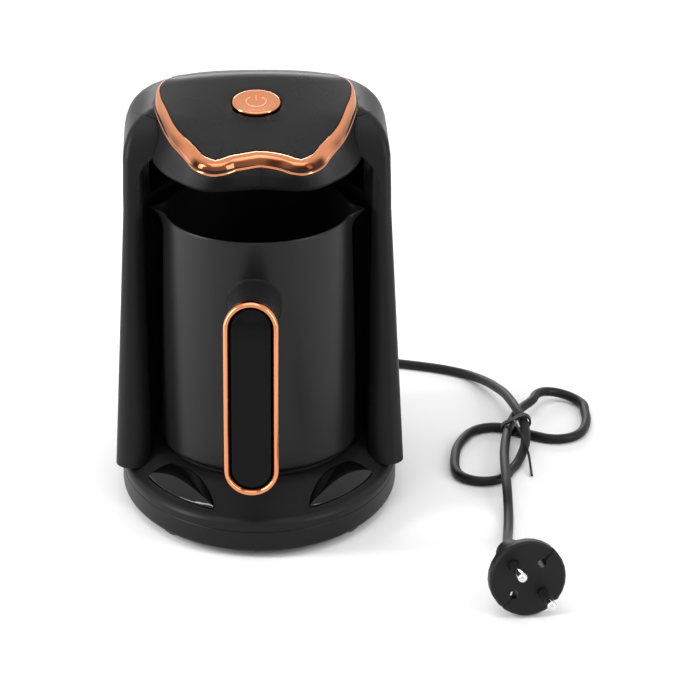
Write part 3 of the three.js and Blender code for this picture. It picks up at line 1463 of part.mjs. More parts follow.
const plugEdge = 1;
const plugNeck = 11;
const gripRadius = 6.5;
const neckShares = [[0.8, 0.342], [0.532, 0.7]]; // of the neck's radius and the plug's length
const gripShares = [[1, 0.74], [1, 0.95], [0.8, 1]]; // of the grip's radius and the plug's length
const keyholeDepth = 13;
const slotTurn = 47; // degrees from level to the slots, upwards on the right
const pinTurn = -47;
const slotWidth = 1.3;
const keyholeRadius = 2;
const keyholeShare = 0.54; // of the plug's radius
const notchRadius = 3.6;
const notchOffset = 2.3; // its centre lies this far outside the plug's edge
const sleeveLength = 10;
const sleeveWall = 0.5;
const pinHole = 6;

const aside = (degrees, distance) => {
  const angle = radians(degrees);
  return [distance * Math.cos(angle), distance * Math.sin(angle)];
};

function makePlug() {
  const profile = [
    [0, 0],
    [plugRadius - plugEdge, 0],
    [plugRadius, -plugEdge],
    [plugRadius, -plugDisc],
    [plugNeck, -plugDisc],
    ...neckShares.map(([radius, depth]) => [plugNeck * radius, -plugLength * depth]),
    ...gripShares.map(([radius, depth]) => [gripRadius * radius, -plugLength * depth]),
    [0, -plugLength],
  ];
  let plug = revolved(profile, 28);
  for (const turn of [slotTurn, slotTurn + 180]) {
    const [x, y] = aside(turn, plugRadius * keyholeShare);
    const slit = box(
      [plugRadius * keyholeShare, -slotWidth / 2, -plugDisc - overrun],
      [plugRadius + overrun, slotWidth / 2, overrun],
    ).rotate([0, 0, turn]);
    const keyhole = disc(keyholeRadius, -keyholeDepth, overrun, x, y, 14);
    plug = plug.subtract(join(slit, keyhole));
  }
  const [notchX, notchY] = aside(pinTurn, plugRadius + notchOffset);
  plug = plug.subtract(disc(notchRadius, -plugDisc - overrun, overrun, notchX, notchY, 16));
  for (const turn of [pinTurn, pinTurn + 180]) {
    const [x, y] = aside(turn, pinSpacing / 2);
    plug = plug.subtract(disc(pinDiameter / 2 + gap, -pinHole - gap, overrun, x, y, 14));
  }
  return plug;
}

function makePin() {
  const radius = pinDiameter / 2;
  const core = radius - sleeveWall - gap;
  const rounding = spread(0, Math.PI / 2, 4).map((angle) => [
    radius * Math.cos(angle), pinLength - radius + radius * Math.sin(angle)]);
  const shoulder = sleeveLength + gap;
  const profile = [[0, -pinHole], [core, -pinHole], [core, shoulder], [radius, shoulder], ...rounding];
  return revolved(profile, 12);
}

function makeSleeve() {
  const radius = pinDiameter / 2;
  const bore = radius - sleeveWall;
  const start = [bore, -pinHole];
  const profile = [start, [radius, -pinHole], [radius, sleeveLength], [bore, sleeveLength], start];
  return revolved(profile, 12);
}

add('plug_body', onPlug(makePlug()), rubber);
for (const [side, turn] of [['left', pinTurn + 180], ['right', pinTurn]]) {
  const [x, y] = aside(turn, pinSpacing / 2);
  add(`plug_pin_${side}`, onPlug(makePin().translate(x, y, 0)), steel);
  add(`pin_sleeve_${side}`, onPlug(makeSleeve().translate(x, y, 0)), satinBlack);
}

export default machine;
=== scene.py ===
# %% [markdown]
# # Electric Turkish coffee maker
# The machine is a satin black shell with two tall ears, a sloping head with a rose copper trim and a push
# button, and a base whose front carries two glossy leaf-shaped lenses. A matt black pot with a long handle
# stands on the heating plate, and a thin black cord lies beside the machine, held by a wire tie.
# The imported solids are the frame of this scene: every piece below sits where its solid sits, and either
# gives the solid a finish or stands for it with a finer mesh.

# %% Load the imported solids
import json
import math

import bmesh
import bpy
from mathutils import Matrix, Vector


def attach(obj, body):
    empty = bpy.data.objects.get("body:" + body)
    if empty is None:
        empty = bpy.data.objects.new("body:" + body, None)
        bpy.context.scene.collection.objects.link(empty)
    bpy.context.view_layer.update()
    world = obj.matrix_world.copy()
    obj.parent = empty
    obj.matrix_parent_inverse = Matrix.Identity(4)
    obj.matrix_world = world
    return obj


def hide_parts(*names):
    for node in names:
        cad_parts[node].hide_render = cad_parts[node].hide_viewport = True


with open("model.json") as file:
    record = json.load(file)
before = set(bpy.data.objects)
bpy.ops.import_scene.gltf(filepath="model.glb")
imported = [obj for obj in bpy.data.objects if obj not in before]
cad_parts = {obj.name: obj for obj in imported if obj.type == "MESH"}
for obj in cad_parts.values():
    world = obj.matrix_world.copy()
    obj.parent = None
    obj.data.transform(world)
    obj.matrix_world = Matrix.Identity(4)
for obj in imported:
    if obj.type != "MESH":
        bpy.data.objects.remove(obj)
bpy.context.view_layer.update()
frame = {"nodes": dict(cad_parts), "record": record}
MM = 0.001


def add_object(name, data):
    item = bpy.data.objects.new(name, data)
    bpy.context.scene.collection.objects.link(item)
    return item


# %% [markdown]
# ## Camera
# The photograph was taken from some distance, a little to the left of the machine and about 24 degrees
# above it. A long lens from 1.55 m keeps the same gentle perspective. The camera could be placed by two
# points, but turning it by three named angles about its aim keeps the numbers readable.

# %% Camera
CAMERA_TURN = math.radians(-2.5)
CAMERA_PITCH = math.radians(24.2)
CAMERA_ROLL = math.radians(0.24)
CAMERA_DISTANCE = 1.55
CAMERA_AIM_RIGHT = 0.0427
CAMERA_AIM_UP = 0.0638
CAMERA_SENSOR = 36.0
CAMERA_LENS = 167.4

turned = Matrix.Rotation(CAMERA_TURN, 4, "Z") @ Matrix.Rotation(math.pi / 2 - CAMERA_PITCH, 4, "X")
right, up, back = (Vector(turned.col[i][:3]) for i in range(3))
camera_data = bpy.data.cameras.new("camera")
camera_data.sensor_width = CAMERA_SENSOR
camera_data.lens = CAMERA_LENS
camera_data.clip_end = 30
camera = add_object("camera", camera_data)
camera.matrix_world = (
    Matrix.Translation(right * CAMERA_AIM_RIGHT + up * CAMERA_AIM_UP + back * CAMERA_DISTANCE)
    @ turned
    @ Matrix.Rotation(CAMERA_ROLL, 4, "Z")
)
bpy.context.scene.camera = camera
print("camera at", [round(v, 3) for v in camera.matrix_world.translation])

# %% [markdown]
# ## Cord
# The cord is one length of thin round lead. It leaves the gland on the rear wall, drops to the table, makes
# two open loops that cross each other, and runs forward to the plug. A curve with a round bevel is the
# natural way to make it: the points give the centreline, and the bevel gives the sheath. The points are
# those of the solid cord, joined by a centripetal curve so that no bend has a kink between them.

# %% Cord route
CORD_DIAMETER = 4.6 * MM
CORD_STEPS = 8
CORD_ROUTE = [
    (15, 107.3, 30), (15, 110.5, 30), (15.9, 116.7, 27.5), (17.8, 120.8, 22.4), (20.6, 122.6, 17),
    (28, 128.5, 8.4), (35.7, 132.2, 4.2), (44.9, 134.1, 2.6), (57.7, 133.7, 2.4), (70.2, 131.4, 2.4),
    (82.5, 127.7, 2.4), (94.5, 123.3, 2.4), (105.6, 117.1, 2.5), (111.8, 109.9, 3.4), (116.7, 98.4, 5.9),
    (120, 86.3, 8.6), (122.9, 74.1, 11), (125.1, 61.6, 12.6), (127.3, 49, 12.9), (129.6, 36.7, 10.8),
    (128.8, 24.5, 7.1), (124.4, 13.3, 2.9), (120, 4.9, 2.4), (117.2, -1.1, 2.4), (111.8, -5, 2.4),
    (105.8, -5.9, 2.4), (100.1, -3.9, 2.4), (95.8, 0.6, 2.4), (94, 7.1, 2.4), (94.5, 19.7, 2.4),
    (96.7, 32.2, 2.4), (101.7, 43.9, 2.4), (105.4, 49.1, 2.4), (110.7, 52.5, 2.4), (116.9, 53.3, 2.4),
    (122.9, 51.3, 2.4), (133.6, 44.2, 2.4), (142.1, 39.6, 2.4), (148.4, 39.2, 2.4), (154.1, 41.5, 2.4),
    (158.4, 46.3, 2.4), (162.3, 58.4, 2.4), (162.9, 71, 2.4), (162.9, 77.6, 2.4), (159.8, 83.5, 2.7),
    (154.7, 86.8, 3.8), (148.8, 87.3, 5.2), (143.1, 84.7, 6.6), (139.1, 79.3, 7.5), (136.9, 73.5, 7.5),
    (129.9, 62.8, 7.6), (125.1, 51, 7.7), (121.7, 38.6, 7.6), (119.4, 26.1, 7.6), (117.8, 13.4, 7.6),
    (116.9, 0.6, 7.7), (116.4, -12.2, 7.6), (115.9, -24.9, 6.5), (115.4, -37.3, 3.4), (114.4, -49.9, 2.4),
    (113, -62.6, 3.2), (111.7, -74.9, 6.6), (110.7, -87, 10.4),
]


def centripetal(points, steps):
    """Fine points on the smooth curve through the given ones."""
    ends = [2 * points[0] - points[1], *points, 2 * points[-1] - points[-2]]
    fine = []
    for p0, p1, p2, p3 in zip(ends, ends[1:], ends[2:], ends[3:]):
        t01, t12, t23 = ((b - a).length ** 0.5 for a, b in ((p0, p1), (p1, p2), (p2, p3)))
        m1 = p2 - p1 + t12 * ((p1 - p0) / t01 - (p2 - p0) / (t01 + t12))
        m2 = p2 - p1 + t12 * ((p3 - p2) / t23 - (p3 - p1) / (t12 + t23))
        for i in range(steps):
            t = i / steps
            fine.append(
                (2 * t**3 - 3 * t**2 + 1) * p1 + (t**3 - 2 * t**2 + t) * m1
                + (3 * t**2 - 2 * t**3) * p2 + (t**3 - t**2) * m2
            )
    fine.append(points[-1])
    return fine


PLUG_FACE = Vector((115.5, -133.6, 18.07)) * MM
PLUG_YAW = math.radians(8)
PLUG_TILT = math.radians(9)
PLUG_LENGTH = 38 * MM
JOINT_GAP = 0.3 * MM
plug_ahead = Vector((
    math.sin(PLUG_YAW) * math.cos(PLUG_TILT), -math.cos(PLUG_YAW) * math.cos(PLUG_TILT), math.sin(PLUG_TILT)
))
cord_points = [Vector(point) * MM for point in CORD_ROUTE]
for behind in (PLUG_LENGTH + JOINT_GAP + CORD_DIAMETER, PLUG_LENGTH + JOINT_GAP):
    cord_points.append(PLUG_FACE - plug_ahead * behind)
cord_line = centripetal(cord_points, CORD_STEPS)

# %% [markdown]
# ## Materials
# Almost everything here is black, so the finishes have to differ by gloss, by the size of their grain and
# by how their edges shine. One group makes a fine moulded grain with slow changes of gloss, and each
# material places it with its own values. The shaders themselves stay in each material.

# %% Grain group
GRAIN_SCALE, PATCH_SCALE = 900.0, 18.0
PATCH_LOW, PATCH_HIGH = 0.3, 0.7


def new_group(name, inputs, outputs):
    group = bpy.data.node_groups.new(name, "ShaderNodeTree")
    for title, kind, value in inputs:
        socket = group.interface.new_socket(title, in_out="INPUT", socket_type=kind)
        if value is not None:
            socket.default_value = value
    for title, kind in outputs:
        group.interface.new_socket(title, in_out="OUTPUT", socket_type=kind)
    return group, group.nodes.new("NodeGroupInput"), group.nodes.new("NodeGroupOutput")


def add_node(tree, kind, **values):
    node = tree.nodes.new(kind)
    for key, value in values.items():
        if hasattr(node, key):
            setattr(node, key, value)
        else:
            node.inputs[key.replace("_", " ")].default_value = value
    return node


def wire(tree, *pairs):
    for source, target in pairs:
        tree.links.new(source, target)


grain, grain_in, grain_out = new_group(
    "moulded grain",
    [
        ("Vector", "NodeSocketVector", None),
        ("Grain Scale", "NodeSocketFloat", GRAIN_SCALE),
        ("Patch Scale", "NodeSocketFloat", PATCH_SCALE),
        ("Rough Low", "NodeSocketFloat", 0.35),
        ("Rough High", "NodeSocketFloat", 0.5),
    ],
    [("Roughness", "NodeSocketFloat"), ("Height", "NodeSocketFloat"), ("Patch", "NodeSocketFloat")],
)
fine = add_node(grain, "ShaderNodeTexNoise", Detail=3.0, Roughness=0.6)
patch = add_node(grain, "ShaderNodeTexNoise", Detail=4.0, Roughness=0.55)
gloss = add_node(grain, "ShaderNodeMapRange", From_Min=PATCH_LOW, From_Max=PATCH_HIGH)
wire(
    grain,
    (grain_in.outputs["Vector"], fine.inputs["Vector"]), (grain_in.outputs["Vector"], patch.inputs["Vector"]),
    (grain_in.outputs["Grain Scale"], fine.inputs["Scale"]),
    (grain_in.outputs["Patch Scale"], patch.inputs["Scale"]),
    (patch.outputs["Fac"], gloss.inputs["Value"]),
    (grain_in.outputs["Rough Low"], gloss.inputs["To Min"]),
    (grain_in.outputs["Rough High"], gloss.inputs["To Max"]),
    (gloss.outputs["Result"], grain_out.inputs["Roughness"]),
    (fine.outputs["Fac"], grain_out.inputs["Height"]),
    (patch.outputs["Fac"], grain_out.inputs["Patch"]),
)
print("group:", grain.name, "nodes:", len(grain.nodes))

# %% [markdown]
# ### One maker for all finishes
# A finish is two close colours, a range of gloss and a depth of grain. Giving those to one function keeps
# the finishes comparable, and a new one costs a line.

# %% Material maker
RELIEF = 0.0002  # depth of the grain, in metres


def finish_of(name, dark, light, rough, bump=0.0, grain_scale=GRAIN_SCALE, **shader):
    """A material whose colour and gloss vary a little over the surface, with a fine grain."""
    material = bpy.data.materials.new(name)
    material.use_nodes = True
    tree = material.node_tree
    principled = tree.nodes["Principled BSDF"]
    place = add_node(tree, "ShaderNodeTexCoord")
    marks = add_node(tree, "ShaderNodeGroup", node_tree=grain, Grain_Scale=grain_scale,
                     Rough_Low=rough[0], Rough_High=rough[1])
    tint = add_node(tree, "ShaderNodeMix", data_type="RGBA", A=(*dark, 1), B=(*light, 1))
    wire(
        tree,
        (place.outputs["Object"], marks.inputs["Vector"]),
        (marks.outputs["Roughness"], principled.inputs["Roughness"]),
        (marks.outputs["Patch"], tint.inputs["Factor"]),
        (tint.outputs["Result"], principled.inputs["Base Color"]),
    )
    if bump:
        relief = add_node(tree, "ShaderNodeBump", Strength=bump, Distance=RELIEF)
        wire(tree, (marks.outputs["Height"], relief.inputs["Height"]),
             (relief.outputs["Normal"], principled.inputs["Normal"]))
    for socket, value in shader.items():
        principled.inputs[socket.replace("_", " ")].default_value = value
    return material


print("depth of the grain:", RELIEF * 1000, "mm")

# %% [markdown]
# ### The black finishes
# The mouldings are satin with a fine grain, the panel is smoother, and the lenses and the handle's face are
# polished. The pot has a baked matt coating with a finer grain than the mouldings.

# %% Black finishes
SATIN = finish_of("satin black plastic", (0.0080, 0.0080, 0.0085), (0.0115, 0.0115, 0.0122), (0.34, 0.42),
                  bump=0.25, Specular_IOR_Level=0.13)
PANEL = finish_of("panel black plastic", (0.0042, 0.0042, 0.0045), (0.0060, 0.0060, 0.0064), (0.24, 0.30),
                  bump=0.06, Specular_IOR_Level=0.06)
GLOSS = finish_of("gloss black plastic", (0.0015, 0.0015, 0.0018), (0.0025, 0.0025, 0.0028), (0.05, 0.09),
                  Specular_IOR_Level=0.3)
FACE = finish_of("face of the handle", (0.0015, 0.0015, 0.0018), (0.0025, 0.0025, 0.0028), (0.06, 0.10),
                 Specular_IOR_Level=0.11)
POT = finish_of("matt pot coating", (0.0058, 0.0058, 0.0061), (0.0082, 0.0082, 0.0086), (0.30, 0.36),
                bump=0.3, grain_scale=1500.0, Specular_IOR_Level=0.24)
SILICONE = finish_of("black silicone", (0.006, 0.006, 0.006), (0.010, 0.010, 0.010), (0.55, 0.7), bump=0.2)
RUBBER = finish_of("foot rubber", (0.012, 0.012, 0.012), (0.02, 0.02, 0.02), (0.7, 0.85), bump=0.4)
SHEATH = finish_of("cord sheath", (0.0045, 0.0045, 0.0045), (0.0070, 0.0070, 0.0068), (0.40, 0.5),
                   bump=0.3, Specular_IOR_Level=0.2)
print("black finishes: 8")

# %% [markdown]
# ### The metals and the inner parts
# The trim, the button and the handle's ring are plated in rose copper. The heating plate is spun aluminium,
# the plug's pins are nickel plated, and the boards and their components have the colours usual for them.

# %% Metals and inner parts
COPPER = finish_of("rose copper plating", (0.70, 0.25, 0.11), (0.76, 0.30, 0.14), (0.09, 0.15), Metallic=1.0)
STEEL = finish_of("plain steel", (0.45, 0.45, 0.46), (0.55, 0.55, 0.56), (0.28, 0.38), Metallic=1.0)
ALUMINIUM = finish_of("brushed aluminium", (0.36, 0.36, 0.37), (0.46, 0.46, 0.47), (0.3, 0.42), Metallic=1.0)
NICKEL = finish_of("nickel plating", (0.62, 0.61, 0.59), (0.70, 0.69, 0.67), (0.12, 0.2), Metallic=1.0)
BOARD = finish_of("green board", (0.02, 0.13, 0.06), (0.03, 0.17, 0.08), (0.35, 0.45))
GREY = finish_of("grey component", (0.05, 0.055, 0.065), (0.07, 0.075, 0.085), (0.4, 0.5), bump=0.2)
RELAY = finish_of("blue relay", (0.02, 0.08, 0.3), (0.04, 0.12, 0.4), (0.3, 0.4))
SMOKE = finish_of("smoked window", (0.015, 0.006, 0.006), (0.02, 0.008, 0.008), (0.05, 0.08))
print("metals and inner finishes: 8")

# %% [markdown]
# ### Painted dark reflection on the copper
# On the trim's skirt and on the flank inside the handle's ring, the copper's colour is darkened to a
# patchy red-brown: a painted dark reflection. The meshes carry its depth as a point attribute, so it
# stays on the piece in every view, and a slow noise breaks it up. A second material would need a hard
# border along the mesh.

# %% Painted dark reflection
# colour of the painted dark reflection on the copper
PAINTED_REFLECTION_COPPER = (0.05, 0.010, 0.004, 1)


# Mixes the painted dark reflection into a material's colour, by a point attribute and a slow noise.
def paint_dark_reflection(material):
    tree = material.node_tree
    colour = tree.nodes["Principled BSDF"].inputs["Base Color"]
    painted_reflection = add_node(tree, "ShaderNodeAttribute", attribute_name="painted_reflection")
    place = add_node(tree, "ShaderNodeTexCoord")
    patches = add_node(tree, "ShaderNodeTexNoise", Scale=75.0, Detail=1.0)
    uneven = add_node(tree, "ShaderNodeMapRange", From_Min=0.42, From_Max=0.56, To_Min=0.8, To_Max=1.0)
    depth = add_node(tree, "ShaderNodeMath", operation="MULTIPLY")
    with_painted_reflection = add_node(tree, "ShaderNodeMix", data_type="RGBA", B=PAINTED_REFLECTION_COPPER)
    wire(
        tree,
        (colour.links[0].from_socket, with_painted_reflection.inputs["A"]),
        (place.outputs["Object"], patches.inputs["Vector"]), (patches.outputs["Fac"], uneven.inputs["Value"]),
        (uneven.outputs["Result"], depth.inputs[0]), (painted_reflection.outputs["Fac"], depth.inputs[1]),
        (depth.outputs[0], with_painted_reflection.inputs["Factor"]), (with_painted_reflection.outputs["Result"], colour),
    )


paint_dark_reflection(COPPER)
FINISHES = {
    "satin_black": SATIN, "panel_black": PANEL, "gloss_black": GLOSS, "pot_black": POT, "copper": COPPER,
    "steel": STEEL, "plate_aluminium": ALUMINIUM, "pin_nickel": NICKEL, "silicone": SILICONE,
    "foot_rubber": RUBBER, "cord_rubber": SHEATH, "circuit_green": BOARD, "component_grey": GREY,
    "relay_blue": RELAY, "smoked_window": SMOKE,
}
print("finishes:", len(FINISHES))

# %% [markdown]
# ## Pieces
# Every piece rides on its body and hides the solid that it stands for. Its faces are smooth, and an edge
# stays sharp only where the moulding really turns. Normals weighted by area then keep the flat faces flat,
# which is cheaper than a bevel on every edge; the rounds that show are modelled in the rings themselves.

# %% Helpers for pieces
BODY_OF = {
    node: body for body, nodes in frame["record"]["behaviour"]["bodies"].items() for node in nodes
}
SLOT_OF = {part["node"]: part["material_slot"] for part in frame["record"]["subparts"]}
MODELLED = set()  # the solids that have a piece by now


def merged_copy(node):
    mesh = bmesh.new()
    mesh.from_mesh(frame["nodes"][node].data)
    bmesh.ops.remove_doubles(mesh, verts=mesh.verts, dist=2e-6)
    return mesh


def shade(mesh, sharp_degrees):
    """Smooth faces, with the edges that turn by more than the angle kept sharp."""
    for face in mesh.faces:
        face.smooth = True
    limit = math.radians(sharp_degrees)
    for edge in mesh.edges:
        edge.smooth = len(edge.link_faces) == 2 and edge.calc_face_angle(0) < limit


def piece_from(mesh, sharp_degrees, name, material, body, nodes=(), slot=None, weighted=True):
    """The mesh as a piece that rides on a body and stands for its solid, with flat faces kept flat."""
    shade(mesh, sharp_degrees)
    data = bpy.data.meshes.new(name)
    mesh.to_mesh(data)
    mesh.free()
    data.materials.append(material)
    piece = add_object(name, data)
    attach(piece, body)
    if nodes:
        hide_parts(*nodes)
        MODELLED.update(nodes)
        slot = slot or SLOT_OF[nodes[0]]
    if weighted:
        piece.modifiers.new("normals", "WEIGHTED_NORMAL").keep_sharp = True
    print(name, "faces:", len(data.polygons))


# %% [markdown]
# ## Shapes by rings
# Nearly every moulding here changes its outline slowly from one level to the next. The natural way to model
# that is to start from one ring of points and to extrude it to the next ring, again and again, as a loft.
# Subdivision of a coarse cage would be shorter, but it would round the creases that the mouldings keep.

# %% Helpers for rings
def mix(start, end, share):
    return start + (end - start) * share


def clamped(value):
    return min(1.0, max(0.0, value))


def eased(value):
    """0 below 0 and 1 above 1, with a soft start and end between them."""
    share = clamped(value)
    return share * share * (3 - 2 * share)


def spread(start, end, steps):
    return [mix(start, end, i / steps) for i in range(steps + 1)]


def skin(rings, closed=False, painted_reflection_of=None):
    """A closed skin over rings of equally many points (mm); its ends are capped unless it closes on itself.

    The optional function gives each point, by its ring and its place, how dark the painted reflection on it
    is.
    """
    mesh = bmesh.new()
    # a point attribute for the painted dark reflection, if one is asked for
    painted_reflection = mesh.verts.layers.float.new("painted_reflection") if painted_reflection_of else None
    loop = bmesh.ops.create_circle(mesh, segments=len(rings[0]), radius=1)["verts"]
    ends = [list(loop)]
    for vert, place in zip(loop, rings[0]):
        vert.co = Vector(place) * MM
        if painted_reflection_of:
            vert[painted_reflection] = painted_reflection_of(0, place)
    for level, ring in enumerate([*rings[1:], *([rings[0]] if closed else [])], 1):
        edges = [mesh.edges.get((a, b)) for a, b in zip(loop, [*loop[1:], loop[0]])]
        made = {item for item in bmesh.ops.extrude_edge_only(mesh, edges=edges)["geom"]
                if isinstance(item, bmesh.types.BMVert)}
        loop = [next(e.other_vert(v) for e in v.link_edges if e.other_vert(v) in made) for v in loop]
        for vert, place in zip(loop, ring):
            vert.co = Vector(place) * MM
            if painted_reflection_of:
                vert[painted_reflection] = painted_reflection_of(level % len(rings), place)
    ends.append(list(loop))
    if not closed:
        for end in ends:
            bmesh.ops.contextual_create(
                mesh, geom=[mesh.edges.get((a, b)) for a, b in zip(end, [*end[1:], end[0]])])
    bmesh.ops.remove_doubles(mesh, verts=mesh.verts, dist=1e-6)
    bmesh.ops.dissolve_degenerate(mesh, edges=mesh.edges, dist=1e-7)
    bmesh.ops.recalc_face_normals(mesh, faces=mesh.faces)
    return mesh


def turned_profile(profile, segments, place=Matrix.Identity(4)):
    """A profile of (radius, height) points in mm, turned once round the upright axis."""
    mesh = bmesh.new()
    verts = [mesh.verts.new((radius * MM, 0, height * MM)) for radius, height in profile]
    edges = [mesh.edges.new(pair) for pair in zip(verts, verts[1:])]
    bmesh.ops.spin(mesh, geom=[*verts, *edges], axis=(0, 0, 1), cent=(0, 0, 0), steps=segments,
                   angle=2 * math.pi, use_merge=True)
    bmesh.ops.remove_doubles(mesh, verts=mesh.verts, dist=1e-6)
    bmesh.ops.recalc_face_normals(mesh, faces=mesh.faces)
    bmesh.ops.transform(mesh, matrix=place, verts=mesh.verts)
    return mesh


def carved(mesh, *steps):
    """The mesh after joining, cutting or keeping others: (UNION, DIFFERENCE or INTERSECT, other mesh)."""
    scratch = []
    for part in (mesh, *(other for _, other in steps)):
        data = bpy.data.meshes.new("scratch")
        part.to_mesh(data)
        part.free()
        scratch.append(add_object("scratch", data))
    for (operation, _), other in zip(steps, scratch[1:]):
        step = scratch[0].modifiers.new("carve", "BOOLEAN")
        step.operation = operation
        step.solver = "EXACT"
        step.object = other
    shape = bpy.data.meshes.new_from_object(
        scratch[0].evaluated_get(bpy.context.evaluated_depsgraph_get()))
    result = bmesh.new()
    result.from_mesh(shape)
    bpy.data.meshes.remove(shape)
    for item in scratch:
        data = item.data
        bpy.data.objects.remove(item)
        bpy.data.meshes.remove(data)
    return result


def both(mesh, other):
    """Two closed shells in one mesh."""
    data = bpy.data.meshes.new("scratch")
    other.to_mesh(data)
    other.free()
    mesh.from_mesh(data)
    bpy.data.meshes.remove(data)
    return mesh


def upright(outline, low, high):
    return skin([[(x, y, z) for x, y in outline] for z in (low, high)])


def box_of(low, high):
    mesh = bmesh.new()
    bmesh.ops.create_cube(mesh, size=1)
    bmesh.ops.scale(mesh, vec=[(b - a) * MM for a, b in zip(low, high)], verts=mesh.verts)
    bmesh.ops.translate(mesh, vec=[(a + b) / 2 * MM for a, b in zip(low, high)], verts=mesh.verts)
    return mesh


def extent(node):
    """Lowest and highest corner of a solid, in mm."""
    corners = [vert.co / MM for vert in frame["nodes"][node].data.vertices]
    return [[pick(c[axis] for c in corners) for axis in range(3)] for pick in (min, max)]


def rounded_point(angle, half_width, reach, power):
    """A point of a rounded box outline: power 2 is an ellipse, a higher one is squarer."""
    across, ahead = math.cos(angle), math.sin(angle)
    return (half_width * math.copysign(abs(across) ** (2 / power), across),
            reach * math.copysign(abs(ahead) ** (2 / power), ahead))


def smooth_outline(points, steps):
    """Fine points on the smooth closed curve through the given ones."""
    places = [Vector(point) for point in points]
    wrapped = [*places[-2:], *places, *places[:2]]
    return [tuple(place) for place in centripetal(wrapped, steps)[2 * steps:-2 * steps - 1]]


def inward(outline, distance):
    """The outline moved inwards along its own normals."""
    moved = []
    for i, (x, y) in enumerate(outline):
        before, after = outline[i - 1], outline[(i + 1) % len(outline)]
        along = Vector((after[0] - before[0], after[1] - before[1])).normalized()
        reach = distance((x, y)) if callable(distance) else distance
        moved.append((x - along.y * reach, y + along.x * reach))
    return moved


print("a quarter, eased:", eased(0.25))

# %% [markdown]
# ### Measures from the solids
# The fine shapes take their heights and reaches from the solids that they stand for. Where a solid is
# measured, nothing has to be typed twice, and the shapes stay inside the machine's box.

# %% Heights and reaches, from the solids
BASE_LOW, BASE_HIGH = extent("base_cover")
BODY_LOW, BODY_HIGH = extent("body_shell")
POT_LOW, POT_HIGH = extent("pot_shell")
RING_LOW, RING_HIGH = extent("handle_ring")
COVER_BOTTOM, DECK_Z = BASE_LOW[2], BASE_HIGH[2]
CREASE_SHARE, SHOULDER_RISE, HEAD_HEIGHT = 5.6 / 12.4, 8.6, 24.4
CREASE_Z = mix(COVER_BOTTOM, DECK_Z, CREASE_SHARE)
BODY_BOTTOM, RIM_Z = BODY_LOW[2], POT_HIGH[2]
SHOULDER_Z = RIM_Z + SHOULDER_RISE
HEAD_BOTTOM = extent("head_housing")[0][2]
HEAD_TOP = HEAD_BOTTOM + HEAD_HEIGHT
REAR_REACH = extent("rear_cover")[1][1]
BASE_HALF, BASE_FRONT = BASE_HIGH[0], -BASE_LOW[1]
print("deck", round(DECK_Z, 2), "body", round(BODY_BOTTOM, 2), "rim", round(RIM_Z, 2),
      "head", round(HEAD_BOTTOM, 2), "rear", round(REAR_REACH, 2), "base", round(BASE_HALF, 2),
      round(BASE_FRONT, 2))

# %% [markdown]
# ## Head
# The head is one moulding: a tub that leans over the pot, and the two shoulders behind it. Its outline has
# two lobes at the front with a shallow notch between them. The same outline carries the plated trim and,
# inside the trim, the slightly crowned panel, so it is laid out once, as a smooth curve through given
# shares of the head's width and reach.

# %% Head outline
HEAD_HALF, HEAD_FRONT, HEAD_REAR = 46.3, 44.4, 54.0
HEAD_SHARES = [
    (0, -0.84), (0.19, -0.894), (0.318, -0.977), (0.42, -1), (0.518, -0.955), (0.616, -0.85),
    (0.708, -0.63), (0.853, -0.284), (0.955, 0.12), (1, 0.42), (0.95, 0.68), (0.66, 0.93), (0, 1),
]
HEAD_FOOT_SHARES = [
    (0, -0.745), (0.19, -0.775), (0.318, -0.8), (0.42, -0.805), (0.535, -0.785), (0.645, -0.715),
    (0.755, -0.585), (0.93, -0.31), (1.045, 0.04), (1.07, 0.42), (0.99, 0.68), (0.66, 0.93), (0, 1),
]
OUTLINE_STEPS = 6


def head_curve(shares):
    right = [(x * HEAD_HALF, y * (HEAD_FRONT if y < 0 else HEAD_REAR)) for x, y in shares]
    return smooth_outline([*right, *[(-x, y) for x, y in reversed(right[1:-1])]], OUTLINE_STEPS)


head_outline = head_curve(HEAD_SHARES)
head_foot = head_curve(HEAD_FOOT_SHARES)
HEAD_SLOPE = 0.165
HEAD_CROWN, REAR_CROWN = 1.2, 2.2
ROLL_START, ROLL_RADIUS = 35.5, 26.0


def top_surface(x, y):
    """Height of the head's sloping, crowned top, which rolls off towards the rear."""
    crown = HEAD_CROWN + REAR_CROWN * clamped(y / ROLL_START)
    past = max(0.0, y - ROLL_START)
    roll = ROLL_RADIUS - math.sqrt(max(0.0, ROLL_RADIUS**2 - past**2))
    return HEAD_TOP + HEAD_SLOPE * y - crown * (x / HEAD_HALF) ** 2 - roll


def on_top(outline, inset, drop):
    """The outline moved inwards and laid on the head's top, at a depth under it."""
    return [(x, y, top_surface(x, y) - drop) for x, y in inward(outline, inset)]


print("head outline points:", len(head_outline))

# %% [markdown]
# ### Trim
# The plated trim is a thin rounded band: a narrow flat on top, a convex skirt down the outside and a fine
# lip along its lower edge. It narrows along the sides and dies out at the rear corners. Its section is a
# short list of depths, and the outline is extruded through them until the band closes on itself.

# %% Trim
TRIM_FRONT, TRIM_SIDE, TRIM_REAR = 5.6, 3.9, 0.9
TRIM_TAPER_START, TRIM_TAPER_END = 6.0, 44.0
TRIM_HEIGHT, TRIM_REAR_SHARE = 4.7, 0.5
TRIM_DROP_START, TRIM_DROP_LENGTH = 20, 30
TRIM_SECTION = [  # shares of the band's width inwards, and of its height downwards
    (1, 0.9), (1, 0.06), (0.95, 0.0), (0.78, -0.01), (0.62, 0.0), (0.46, 0.035), (0.32, 0.1), (0.2, 0.2),
    (0.11, 0.33), (0.045, 0.48), (0.01, 0.65), (0, 0.79), (-0.045, 0.82), (-0.095, 0.865), (-0.1, 0.93),
    (-0.07, 0.985), (0, 1), (0.4, 1), (0.8, 0.98),
]
GAP = 0.3


